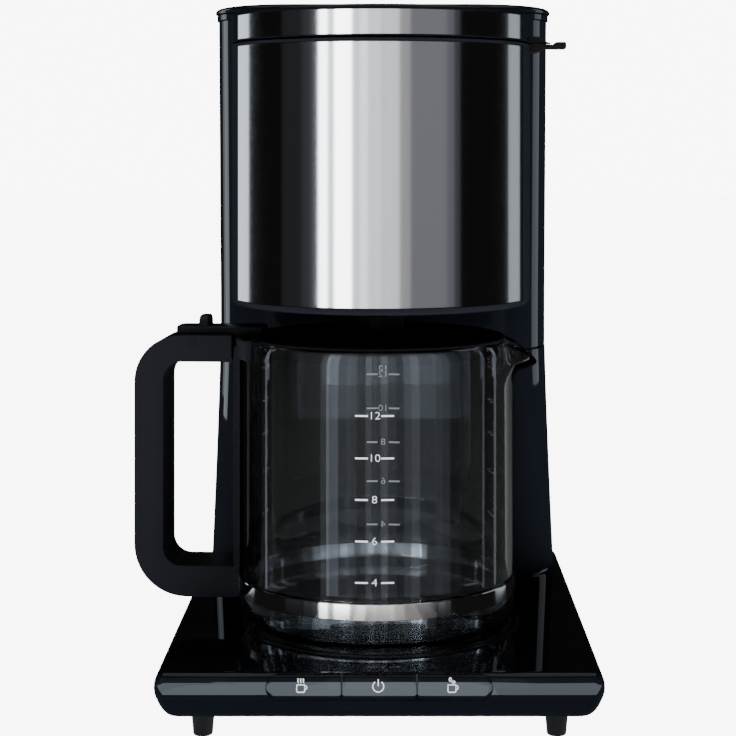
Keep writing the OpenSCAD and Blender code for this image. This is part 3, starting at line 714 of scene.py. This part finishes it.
def front_panel():
    """Slightly raised panel on the column's front, round at its sides."""
    half, y_front, r = 64.0, 87.5, 3
    outline = [(-half, 93.5)] + arc(-half + r, y_front + r, r, 180, 270, 6)
    outline += arc(half - r, y_front + r, r, 270, 360, 6) + [(half, 93.5), (50, 90.2), (-50, 90.2)]
    panel = piece("column_panel", extrude_z(outline, 36.8, 197.6), GLOSS, "column_front_panel")
    bevel(panel, 0.5, 2)


def bridge_outline():
    """Plan of the filled space behind the drum, clear of the drum's swing."""
    out = [(84.0, 104.0), (78.9, 32.0)] + arc(77.6, 30.6, 1.4, 20, -150, 5)
    out += arc(0, 0, DRUM_R + 1.5, 23.0, 114.3, 40)
    out += arc(*HINGE, 7.6, 36, 128, 10)
    return out + [(-79.4, 61.0), (-80.2, 62.5), (-84.0, 104.0)]


def upper_housing():
    rings = [at_height(tower_outline(TOWER_HALF_W, 0.35), SEAM_Z + 0.2),
             at_height(tower_outline(TOWER_HALF_W), SEAM_Z + 0.7)]
    rings += tower_rings(housing_half_w, SEAM_Z + 2, TOWER_TOP - 0.4, 12)
    for half_w, inset, z in ((TOP_HALF_W, 0.3, TOWER_TOP), (TOP_HALF_W, SHELL_INSET, TOWER_TOP),
                             (TOWER_HALF_W, SHELL_INSET, SEAM_Z + 3)):
        rings.append(at_height(tower_outline(half_w, inset), z))
    piece("housing_shell", loft(rings), GLOSS, "upper_housing")
    block = piece("housing_bridge", extrude_z(bridge_outline(), 198.0, 335.4), GLOSS,
                  "upper_housing", 25)
    bevel(block, 0.8, 3, 50)
    hx, hy = HINGE
    for label, z0, z1 in (("low", 205, 214), ("high", 326, 334)):
        outline = arc(hx, hy, 6, 180, 360, 20) + [(hx + 6, hy + 13), (hx - 6, hy + 13)]
        ear = piece("hinge_ear_" + label, extrude_z(outline, z0, z1), SATIN,
                    "upper_housing")
        bevel(ear, 0.6, 2)


def knuckle(x0, x1, arm_low, arm_high):
    """Barrel round the tank lid's pin, with an arm to its shell between two (y, z) corners."""
    r, edge = 3.4, 0.3
    rings = []
    for x, radius in ((x0, r - edge), (x0 + edge, r), (x1 - edge, r), (x1, r - edge)):
        rings.append([mm(x, y, z) for y, z in circle(TANK_PIN_Y, TANK_PIN_Z, radius, 32)])
    (y0, z0), (y1, z1) = arm_low, arm_high
    x0, x1 = x0 + 0.1, x1 - 0.1
    return combined(loft(rings), extrude_z([(x0, y0), (x1, y0), (x1, y1), (x0, y1)], z0, z1))


def top_rings(rows):
    return [at_height(tower_outline(TOP_HALF_W, inset), z) for z, inset in rows]


def tank_collar():
    low, high = TOWER_TOP + 0.05, 359.1
    rows = [(low, -0.5), (355.9, -0.9), (358.8, -0.9), (high, -0.6), (high, 9.0), (low, 9.0)]
    knuckles = [knuckle(x - 5, x + 5, (169.2, 356.0), (173.5, 358.8)) for x in (-60, 60)]
    band = loft(top_rings(rows), closed=True)
    piece("collar_band", combined(band, *knuckles), GLOSS, "tank_collar")


def tank_lid():
    rows = [(361.6, 12.0), (361.6, 4.0), (359.5, 3.6), (359.4, 2.6), (359.4, -1.3), (359.7, -1.7),
            (360.4, -1.95), (361.2, -1.8), (362.0, -1.1), (362.7, 0.2), (363.2, 2.2), (363.6, 5.2),
            (363.85, 9.0), (363.95, 12.5), (364.0, 15.5)]
    knuckles = [knuckle(x, x + 7, (169.5, 359.5), (TANK_PIN_Y, 360.9))
                for x in (-72.4, -54.6, 47.6, 65.4)]
    piece("water_lid", combined(loft(top_rings(rows)), *knuckles), GLOSS, "tank_lid")


# ---------------------------------------------------------------- head and drum

def black_side(z0, z1):
    """Back of the round wall, which the steel sheet leaves uncovered."""
    outline = [(DRUM_R - 1.5, z0), (DRUM_R, z0), (DRUM_R, z1), (DRUM_R - 1.5, z1)]
    return revolve(outline, -90 + WRAP_ANGLE, 270 - WRAP_ANGLE, 96)


def head_cover():
    r, top, edge = DRUM_R, 351.2, 2.6
    shell = [(73.5, 335.9), (r - 0.3, 335.9), (r, 336.15), (r, 336.7), (r - 1, 336.7),
             (r - 1, 348.8), (r, 348.8)]
    shell += arc(r - edge, top - edge, edge, 2, 90, 8)
    shell += [(72.0, top), (60.0, top), (0, top), (0, 349.0), (73.5, 349.0)]
    cap = combined(revolve(shell, steps=224), black_side(336.5, 349.0))
    piece("head_cap", cap, GLOSS, "head_cover")
    neck = arc(0, 0, 75.0, 23, 150, 40)
    neck += [(-80.0, 41.0), (-84.0, 104.0), (84.0, 104.0), (79.6, 31.0)]
    block = piece("head_neck", extrude_z(neck, 336.0, 350.9), GLOSS, "head_cover", 25)
    bevel(block, 1.5, 4, 50)


def steel_sheet(name, z0, z1, node):
    """Thin brushed sheet wrapped round the front, with folded edges."""
    r, fold = WRAP_R, 0.15
    profile = [(r - 1.05, z0), (r - fold, z0), (r, z0 + fold), (r, z1 - fold), (r - fold, z1),
               (r - 1.05, z1)]
    sheet = revolve(profile, -90 - WRAP_ANGLE, -90 + WRAP_ANGLE, 220)
    piece(name, sheet, BRUSHED, node, 25)


def drum_web():
    """Upright rib from the drum's wall to its hinge barrel."""
    axis = Vector(HINGE)
    out = axis.normalized()
    side = Vector((-out.y, out.x)) * 2.5
    near, far = out * (DRUM_R - 1.5), axis - out * 4.5
    corners = [near - side, far - side, far + side, near + side]
    return extrude_z([tuple(corner) for corner in corners], 215.5, 324.5)


def filter_drum():
    r = DRUM_R
    wall = [(8.0, 188.5), (11.6, 188.5), (12.0, 188.9), (12.6, 195.2), (45.0, 201.3), (72.6, 201.5),
            (73.6, 201.9), (75.2, 202.1), (76.2, 202.9), (76.8, 204.2), (r, 205.0), (76.0, 205.0),
            (76.0, 333.4), (76.9, 333.4), (r, 333.6), (r, 334.8), (76.7, 335.1), (73.4, 335.1),
            (73.4, 328.0), (70.4, 326.0), (73.4, 323.0), (73.4, 205.2), (45.0, 204.4),
            (9.6, 197.8), (8.0, 197.8)]
    barrel = [(2.6, 215), (5.7, 215), (6.0, 215.3), (6.0, 324.7), (5.7, 325), (2.6, 325)]
    drum = combined(revolve(wall, steps=224), black_side(204.8, 333.6), drum_web(),
                    moved(revolve(barrel, steps=40), *HINGE))
    piece("drum_shell", drum, SATIN, "filter_housing")


def opening_tab():
    low = [(76.4, 330.9), (80.3, 330.9), (85.0, 333.0), (95.7, 333.0), (95.7, 336.6),
           (90.4, 336.6), (89.2, 335.2), (76.4, 335.2)]
    tab = piece("drum_tab", extrude_y(low, -6, 6), MATTE, "filter_tab")
    bevel(tab, 0.55, 3, 30)
    high = [(76.4, 335.8), (88.4, 335.8), (85.2, 336.9), (81.6, 339.3), (76.4, 339.5)]
    keeper = piece("tab_rest", extrude_y(high, -5, 5), MATTE, "tab_keeper")
    bevel(keeper, 0.4, 3, 30)


# ---------------------------------------------------------------- carafe

TURN = Matrix.Rotation(math.radians(CARAFE_TURN), 3, "Z")
SPOUT_HALF_ANGLE = 20.0
SPOUT_Z = 161.4
SPOUT_BEND_R = 7.0
SPOUT_BEND = math.radians(80)
SPOUT_STRAIGHT = 6.7


def cm(u, v, z):
    """A point of the carafe: u along the handle, v across it."""
    turned = TURN @ Vector((-u, v, 0))
    return carafe_mm(turned.x, turned.y, z)


def spout_path(depth, share):
    """Place (distance, height) on the lip's middle line: the wall bends outwards into a tongue."""
    bent = SPOUT_BEND_R * SPOUT_BEND
    length = share * (bent + SPOUT_STRAIGHT)
    t = min(length, bent) / SPOUT_BEND_R
    straight = max(length - bent, 0.0)
    r = SPOUT_BEND_R + depth
    x = GLASS_R + SPOUT_BEND_R - r * math.cos(t) + straight * math.sin(t)
    z = SPOUT_Z + r * math.sin(t) + straight * math.cos(t)
    return x, z


def glass_wall():
    """Outline of the wall as (distance from the axis, height, weight of the spout)."""
    r, t = GLASS_R, GLASS_T
    outer = [(0, 37.6), (30, 37.55), (r - 13.5, 37.5)]
    outer += arc(r - 12, 49.5, 12, -84, 0, 14)
    levels = [54, 70, 90, 110, 130, 150, 158, 161] + [SPOUT_Z + 1.25 * i for i in range(13)]
    outer += [(r, z) for z in levels]
    outer += [(r - 0.6, 180.4), (r - 1.3, 182.0)]
    rim = [(r - 1.7, 182.75), (r - 2.4, 183.0), (r - 3.2, 182.8), (r - 3.7, 182.0)]
    inner = [(r - t - 0.4, 180.4)]
    inner += [(r - t, z) for z in reversed(levels)]
    inner += arc(r - 12, 49.5, 12 - t, 0, -84, 14)
    inner += [(30, 40.2), (0, 40.3)]
    return outer + rim + inner


def glass_point(radius, z, angle):
    """Wall point, with the upper wall drawn out into a drooping lip on the right."""
    off = (angle - CARAFE_TURN + 180) % 360 - 180
    if radius > 50 and z > SPOUT_Z and abs(off) < SPOUT_HALF_ANGLE:
        weight = math.cos(math.pi / 2 * off / SPOUT_HALF_ANGLE) ** 2
        lip_r, lip_z = spout_path(GLASS_R - radius, (z - SPOUT_Z) / (RIM_Z - SPOUT_Z))
        radius += (lip_r - radius) * weight ** 0.7
        z += (lip_z - z) * weight
    a = math.radians(angle)
    return carafe_mm(radius * math.cos(a), radius * math.sin(a), z)


def carafe_glass():
    wall = glass_wall()
    steps = 240
    verts, faces = [], []
    n = len(wall)
    for i in range(steps):
        angle = 360 * i / steps
        verts += [glass_point(r, z, angle) for r, z in wall]
    for i in range(steps):
        j = (i + 1) % steps
        for k in range(n - 1):
            faces.append((i * n + k, j * n + k, j * n + k + 1, i * n + k + 1))
    piece("carafe_wall", (verts, faces), GLASS, "carafe_glass", 40)


def carafe_band():
    profile = [(70.56, 54.6), (71.2, 54.6), (71.4, 54.8), (71.4, 62.2), (71.2, 62.4), (70.56, 62.4)]
    trim = revolve(profile, steps=200, place=carafe_mm)
    piece("carafe_trim", trim, BRIGHT, "carafe_band", 25)


def rounded_path(corners, steps):
    """Closed outline through (u, z, radius) corners with the corners rounded."""
    out = []
    n = len(corners)
    for i, (u, z, r) in enumerate(corners):
        corner = Vector((u, z))
        if r <= 0:
            out.append((u, z))
            continue
        a = (Vector(corners[i - 1][:2]) - corner).normalized()
        b = (Vector(corners[(i + 1) % n][:2]) - corner).normalized()
        half = math.acos(a.dot(b)) / 2
        centre = corner + (a + b).normalized() * (r / math.sin(half))
        first = corner + a * (r / math.tan(half)) - centre
        last = corner + b * (r / math.tan(half)) - centre
        start = math.atan2(first.y, first.x)
        turn = math.remainder(math.atan2(last.y, last.x) - start, 2 * math.pi)
        out += arc(centre.x, centre.y, r, math.degrees(start), math.degrees(start + turn), steps)
    return out


def carafe_handle():
    root, low, top = 60.0, 51.7, 185.7
    half = HANDLE_W / 2
    outer = rounded_path([(root, low, 0), (HANDLE_REACH, low, 27), (HANDLE_REACH, top, 24),
                          (root, top, 0)], 14)
    handle = piece("grip", loft([[cm(u, v, z) for u, z in outer] for v in (-half, half)]), GRIP,
                   "carafe_handle", 25)
    open_low, open_top, open_u, open_r = 67.6, 172.1, HANDLE_REACH - 15.0, 9.5
    opening = rounded_path([(root - 5, open_low, 0), (open_u, open_low, open_r),
                            (open_u, open_top, open_r), (root - 5, open_top, 0)], 10)
    cut(handle, *loft([[cm(u, v, z) for u, z in opening] for v in (-half - 5, half + 5)]))
    # slot for the lid's tongue
    slot = [(50, -9), (106, -9), (106, 9), (50, 9)]
    cut(handle, *loft([[cm(u, v, z) for u, v in slot] for z in (177, 190)]))
    for r, z0, z1 in ((71.4, 45, 168), (75.4, 168, 190)):
        cut(handle, *revolve([(0, z0), (r, z0), (r, z1), (0, z1)], steps=160, place=carafe_mm))
    bevel(handle, 1.6, 5, 45)


def grip_straps():
    """Post along the glass, and the collar under its rim."""
    bands = []
    for z0, z1, r0, r1, reach in ((60.0, 180.0, 71.4, 74.4, 13.4), (174.8, 185.0, 70.7, 73.2, 30)):
        profile = [(r0, z0 + 0.5), (r0 + 0.4, z0), (r1 - 0.4, z0), (r1, z0 + 0.5), (r1, z1 - 0.5),
                   (r1 - 0.4, z1), (r0 + 0.4, z1), (r0, z1 - 0.5)]
        bands.append(revolve(profile, 180 - reach, 180 + reach, 60, CARAFE_TURN, carafe_mm))
    piece("grip_straps", combined(*bands), GRIP, "carafe_handle", 25)


def pin_rings(rows, steps):
    """Rings round the lid's pin from (place across the handle, radius) rows."""
    return [[cm(u, v, z) for u, z in circle(LID_PIN_U, LID_PIN_Z, r, steps)] for v, r in rows]


def lid_pin():
    half, r, edge = 15.5, LID_PIN_R, 0.3
    rows = [(-half, r - edge), (edge - half, r), (half - edge, r), (half, r - edge)]
    piece("lid_pin", loft(pin_rings(rows, 40)), BRIGHT, "lid_hinge_pin", 25)


def pivot_boss():
    """Small open ring round the end of the lid's pin, on the handle's front."""
    outline = arc(LID_PIN_U, LID_PIN_Z, 2.4, 30, 330, 30)
    outline += arc(LID_PIN_U, LID_PIN_Z, 1.7, 330, 30, 30)
    rings = [[cm(u, -HANDLE_W / 2 - out, z) for u, z in outline] for out in (-0.3, 0.35)]
    ring = finish_mesh("pivot_ring", *loft(rings), GRIP, "carafe", 25)


def lid_tongue():
    """Bar over the handle's slot that carries the thumb lever, its edges softened on top."""
    u0, u1, half_w = 58.5, 104.0, 8.3
    outline = rounded_path([(u0, -half_w, 0.5), (u1, -half_w, 3.5), (u1, half_w, 3.5),
                            (u0, half_w, 0.5)], 6)
    mid = 81.2
    rings = []
    for z, inset in ((184.7, 0.6), (185.1, 0.0), (189.0, 0.0), (189.5, 0.35), (189.8, 1.1)):
        rings.append([cm(mid + (u - mid) * (1 - inset / 22.7), v * (1 - inset / half_w), z)
                      for u, v in outline])
    return loft(rings)


def carafe_lid():
    """A shallow dish, so that the lid clears the nozzle as it rises."""
    dish = [(0, 177.6), (40, 178.0), (60, 182.0), (61.6, 183.4), (65.8, 183.4), (66.4, 183.9),
            (66.5, 184.5), (65.6, 185.1), (63.0, 185.6), (61.8, 185.9), (60.4, 185.8),
            (58, 184.4), (38, 180.2), (0, 179.6)]
    barrel = loft(pin_rings([(-8.3, 3.6), (-7.9, 4.0), (7.9, 4.0), (8.3, 3.6)], 36))
    lid = combined(revolve(dish, steps=200, place=carafe_mm), lid_tongue(), barrel)
    piece("lid_dish", lid, SATIN, "carafe_lid")


def thumb_lever():
    """Thumb tab standing across the tongue, rounded over the top."""
    half, low, top = 8.4, 189.6, 195.1
    front = rounded_path([(-half, low, 0), (half, low, 0), (half, top, 4.5), (-half, top, 4.5)], 10)
    rings = []
    for u, inset in ((86.9, 0.9), (87.1, 0.4), (87.6, 0.0), (91.3, 0.0), (91.8, 0.4), (92.0, 0.9)):
        rings.append([cm(u, v * (1 - inset / half), low + (z - low) * (1 - inset / (top - low)))
                      for v, z in front])
    piece("thumb_tab", loft(rings), GRIP, "lid_thumb_lever")


def digits_mesh(text):
    """Outline of a number as flat faces, (x, y) in millimetres about its centre."""
    curve = bpy.data.curves.new("digits", "FONT")
    curve.body = text
    curve.size = 5.2
    curve.offset = -0.07
    curve.align_x = "CENTER"
    curve.align_y = "CENTER"
    obj = link_new("digits", curve)
    depsgraph = bpy.context.evaluated_depsgraph_get()
    mesh = bpy.data.meshes.new_from_object(obj.evaluated_get(depsgraph))
    points = [(v.co.x, v.co.y) for v in mesh.vertices]
    faces = [tuple(p.vertices) for p in mesh.polygons]
    bpy.data.objects.remove(obj)
    bpy.data.curves.remove(curve)
    bpy.data.meshes.remove(mesh)
    return points, faces


def scale_print(name, middle, heights):
    """Cup numbers and short lines printed round the glass at one side."""
    verts, faces = [], []
    r_in, r_out = GLASS_R + 0.02, GLASS_R + 0.07

    def wrapped(points, polygons, z0):
        base = len(verts)
        for r in (r_in, r_out):
            for x, y in points:
                a = math.radians(middle) + x / GLASS_R
                verts.append(carafe_mm(r * math.cos(a), r * math.sin(a), z0 + y))
        n = len(points)
        edges = {}
        for face in polygons:
            faces.append(tuple(base + n + i for i in face))
            faces.append(tuple(base + i for i in reversed(face)))
            for i, j in zip(face, face[1:] + face[:1]):
                edges[(i, j)] = edges.get((i, j), 0) + 1
        for i, j in edges:
            if (j, i) not in edges:
                faces.append((base + i, base + j, base + n + j, base + n + i))

    for cups, z in zip((12, 10, 8, 6, 4), heights):
        points, polygons = digits_mesh(str(cups))
        wrapped([(1.15 * x, y) for x, y in points], polygons, z)
        for side in (-1, 1):
            x0, x1 = sorted((side * 3.2, side * 9.4))
            wrapped([(x0, -0.42), (x1, -0.42), (x1, 0.42), (x0, 0.42)], [(0, 1, 2, 3)], z)
    obj = finish_mesh(name, verts, faces, PRINT_AND_PAINTED_GLOW, "carafe")
    obj.visible_glossy = False
    obj.visible_transmission = middle > 0

# ---------------------------------------------------------------- build

base_cover()
base_pan()
feet()
warming_plate()
buttons()
lower_column()
front_panel()
upper_housing()
tank_collar()
tank_lid()
head_cover()
steel_sheet("head_band", 336.5, 348.7, "head_steel_band")
filter_drum()
steel_sheet("drum_wrap", 205.2, 333.2, "filter_steel_wrap")
opening_tab()
carafe_glass()
carafe_band()
carafe_handle()
grip_straps()
lid_pin()
pivot_boss()
carafe_lid()
thumb_lever()
scale_print("scale_front", -90.5, (153.1, 132.7, 112.7, 92.7, 72.8))
scale_print("scale_rear", 87.8, (155.9, 137.0, 118.2, 96.5, 72.5))


# ---------------------------------------------------------------- light, floor and camera

FLOOR_GLOW = 8.0
WORLD_DIM = 0.009
WORLD_BRIGHT = 8.4
THROUGH_GLASS = 0.25
COOL = (0.88, 0.97, 1.06)
NEUTRAL = (0.98, 1, 1.02)

# azimuth from, azimuth to (from the camera's side, right is positive),
# brightness on the steel, share of it that the black and clear pieces get, tint
WALL = [
    (-143, -118, 1.6, 0.0, COOL),
    (-78, -60, 0.025, 1.0, (0.9, 0.96, 1.1)),
    (-60, -52, 0.055, 1.0, (0.9, 0.96, 1.12)),
    (-52, -46, 0.1, 0.8, (0.9, 0.96, 1.12)),
    (-46, -39, 11.0, 0.03, (0.96, 1, 1.03)),
    (-39, -34, 1.9, 0.04, (0.97, 1, 1.03)),
    (-34, -21, 13.0, 0.012, NEUTRAL),
    (-21, -15, 1.9, 0.015, (0.97, 1, 1.03)),
    (-15, -9, 2.9, 0.04, (0.97, 1, 1.04)),
    (-9, -3, 1.9, 0.03, NEUTRAL),
    (-3, 0, 2.1, 0.1, NEUTRAL),
    (0, 5, 1.6, 0.04, NEUTRAL),
    (5, 8, 1.7, 0.13, NEUTRAL),
    (8, 14, 1.6, 0.05, NEUTRAL),
    (14, 22, 0.62, 0.06, (1, 1, 1.04)),
    (22, 50, 0.31, 0.12, (0.97, 1, 1.1)),
    (50, 56, 0.22, 0.3, (0.95, 1, 1.12)),
    (56, 61, 0.09, 1.0, (0.95, 1, 1.1)),
    (112, 131, 0.62, 0.0, (0.88, 0.98, 1.06)),
]
# upright panels that only the tower mirrors: azimuths, lower edge, brightness
TOWER_STRIPS = [(-141, -134, 0.0, 0.6), (-134, -122, -0.02, 1.4), (112, 129, 0.02, 0.85)]
# streaks that only the glass mirrors: azimuths and brightness
GLASS_STREAKS = [
    (-128, -120, 0.9), (-104, -101, 1.3), (-46, -41, 0.3), (-41, -38.5, 2.2), (-38.5, -31, 1.5),
    (-31, -24, 0.45), (-24, -16, 0.65), (-16, -9, 0.3), (-9, -4, 1.1), (-4, 3, 0.5),
    (3, 9, 1.15), (9, 16, 0.55), (16, 22, 0.3), (22, 28, 0.7), (28, 35, 1.05), (35, 48, 0.45),
    (48, 55, 0.6), (55, 62, 0.4), (62, 72, 0.12), (96, 99, 0.7), (112, 116, 0.9),
]
# level cards that only some pieces mirror: x from, x to, brightness
BASE_CARDS = [(-0.5, -0.12, 2.5), (-0.12, -0.04, 3.0), (-0.04, 0.06, 3.5), (0.06, 0.5, 2.4)]
BASE_CARD_PLACE = (-2.4, -0.165, 0.001)
BAND_CARDS = [(-0.135, -0.085, 0.1), (-0.085, -0.058, 0.26), (-0.058, -0.03, 0.75),
              (-0.03, 0.03, 0.24), (0.03, 0.07, 0.34), (0.07, 0.105, 0.24), (0.105, 0.14, 0.08)]
BAND_CARD_PLACE = (-0.26, -0.155, 0.02)
# upright panels: lower and upper edge, and distance from the drum
WALL_LOW = -0.25
WALL_HIGH = 1.1
WALL_DISTANCE = 1.3

# level view across the head; the shift brings the whole machine into the frame
CAMERA_PLACE = (7.5, -965, 284.5)
LENS = 91.0
LENS_SHIFT = (-0.0372, -0.306)


def stage_sheet(name, low, high, z, material):
    mesh = bpy.data.meshes.new(name)
    x0, y0 = low
    x1, y1 = high
    mesh.from_pydata([(x0, y0, z), (x1, y0, z), (x1, y1, z), (x0, y1, z)], [], [(0, 1, 2, 3)])
    mesh.materials.append(material)
    obj = link_new(name, mesh)
    return obj


def stepped(tree, count, none, some):
    """One strength while a ray counter is zero and another as soon as it is not."""
    node = add_node(tree, "MapRange", {"From Max": 0.5, "Value": count, "To Min": none,
                                       "To Max": some})
    return node.outputs["Result"]


def seen_directly(tree, dim, bright):
    """Bright for the camera, grey through the carafe's glass, dim for light that bounced."""
    path = tree.nodes.new("ShaderNodeLightPath")
    bounces = tree.nodes.new("ShaderNodeMath")
    bounces.operation = "ADD"
    tree.links.new(path.outputs["Glossy Depth"], bounces.inputs[0])
    tree.links.new(path.outputs["Diffuse Depth"], bounces.inputs[1])
    direct = stepped(tree, path.outputs["Transmission Depth"], bright, THROUGH_GLASS)
    return stepped(tree, bounces.outputs["Value"], direct, dim)


def floor():
    """Pale glowing floor. Only a card-sized part of it shows in reflections."""
    material, tree, shader = node_material("floor_paper")
    shader.inputs["Base Color"].default_value = (0.25, 0.25, 0.25, 1)
    shader.inputs["Roughness"].default_value = 0.8
    shader.inputs["Specular IOR Level"].default_value = 0.1
    shader.inputs["Emission Color"].default_value = (1, 1, 1, 1)
    tree.links.new(seen_directly(tree, 0.0, FLOOR_GLOW), shader.inputs["Emission Strength"])
    sheet = stage_sheet("floor", (-9, -9), (9, 9), 0.0, material)
    sheet.visible_glossy = False


def area_light(name, place, aim, width, tall, brightness, tint=(1, 1, 1), in_reflections=True,
               only=None):
    """Soft rectangular panel at a place, facing a point; only limits it to a group of pieces."""
    light = bpy.data.lights.new(name, "AREA")
    light.shape = "RECTANGLE"
    light.size = width
    light.size_y = tall
    light.energy = brightness * width * tall * math.pi
    light.color = tint
    obj = link_new(name, light)
    obj.location = place
    obj.rotation_euler = (Vector(aim) - Vector(place)).to_track_quat("-Z", "Y").to_euler()
    obj.visible_camera = False
    obj.visible_glossy = in_reflections
    if only:
        obj.light_linking.receiver_collection = only


def upright_panel(name, start, end, low, away, brightness, tint, only=None):
    """Upright panel covering a range of azimuths as seen from the drum."""
    a = math.radians((start + end) / 2)
    height = (low + WALL_HIGH) / 2
    width = 2 * away * math.tan(math.radians(end - start) / 2)
    place = (AXIS_X + away * math.sin(a), AXIS_Y - away * math.cos(a), height)
    area_light(name, place, (AXIS_X, AXIS_Y, height), width, WALL_HIGH - low, brightness, tint,
               only=only)


def wall_panel(index, start, end, brightness, share, tint, steel):
    """A panel for all the pieces, and one just behind it that adds the rest for the steel."""
    if share > 0:
        upright_panel("wall_all_%d" % index, start, end, WALL_LOW, WALL_DISTANCE,
                      brightness * share, tint)
    if share < 1:
        upright_panel("wall_steel_%d" % index, start, end, WALL_LOW, WALL_DISTANCE + 0.02,
                      brightness * (1 - share), tint, steel)


def level_cards(label, cards, place, tint, only):
    """Cards facing up in front of the machine, side by side; place is y from, y to and height."""
    y0, y1, z = place
    for index, (x0, x1, brightness) in enumerate(cards):
        middle = (AXIS_X + (x0 + x1) / 2, AXIS_Y + (y0 + y1) / 2, z)
        area_light("%s_%d" % (label, index), middle, (middle[0], middle[1], 1.0), x1 - x0,
                   y1 - y0, brightness, tint, only=only)


def group_of(label, names):
    """Collection of pieces that a light is kept for."""
    group = bpy.data.collections.new(label)
    for name in names:
        group.objects.link(bpy.data.objects[name])
    return group


def world():
    """Pale behind the object and dim in reflections, so the blacks stay black."""
    scene_world = bpy.data.worlds.new("studio")
    scene_world.use_nodes = True
    tree = scene_world.node_tree
    back = tree.nodes["Background"]
    tree.links.new(seen_directly(tree, WORLD_DIM, WORLD_BRIGHT), back.inputs["Strength"])
    back.inputs["Color"].default_value = (1, 1, 1, 1)
    bpy.context.scene.world = scene_world


world()
floor()
steel_pieces = group_of("steel_pieces", [
    "head_band", "drum_wrap", "carafe_trim", "scale_front", "scale_rear", "icon_keep_warm",
    "icon_power", "icon_aroma"])
base_pieces = group_of("base_pieces", [
    "base_cover_shell", "base_pan_shell", "cap_keep_warm", "cap_power", "cap_aroma"])
for index, row in enumerate(WALL):
    wall_panel(index, *row, steel_pieces)
tower_pieces = group_of("tower_pieces", [
    "column_shell", "housing_shell", "collar_band", "water_lid"])
glass_pieces = group_of("glass_pieces", ["carafe_wall"])
for index, (start, end, brightness) in enumerate(GLASS_STREAKS):
    upright_panel("glass_streak_%d" % index, start, end, WALL_LOW, WALL_DISTANCE + 0.06,
                  brightness, (0.88, 0.98, 1.16), glass_pieces)
for index, (start, end, low, brightness) in enumerate(TOWER_STRIPS):
    upright_panel("tower_strip_%d" % index, start, end, low, WALL_DISTANCE + 0.04, brightness,
                  COOL, tower_pieces)
level_cards("base_card", BASE_CARDS, BASE_CARD_PLACE, (0.86, 0.97, 1.12), base_pieces)
level_cards("band_card", BAND_CARDS, BAND_CARD_PLACE, (1.06, 0.98, 0.9),
            group_of("band_pieces", ["carafe_trim"]))
area_light("overhead_fill", (AXIS_X, AXIS_Y - 0.2, 1.9), (AXIS_X, AXIS_Y, 0), 2.4, 2.4, 1.0,
           in_reflections=False)
area_light("overhead_soft", (AXIS_X, AXIS_Y + 0.1, 1.6), (AXIS_X, AXIS_Y, 0), 1.6, 1.6, 0.5)


def camera():
    lens = bpy.data.cameras.new("camera")
    lens.lens = LENS
    lens.sensor_width = 36.0
    lens.shift_x, lens.shift_y = LENS_SHIFT
    obj = link_new("camera", lens)
    obj.location = mm(*CAMERA_PLACE)
    obj.rotation_euler = (math.radians(90), 0, 0)
    bpy.context.scene.camera = obj


camera()
bpy.context.view_layer.update()
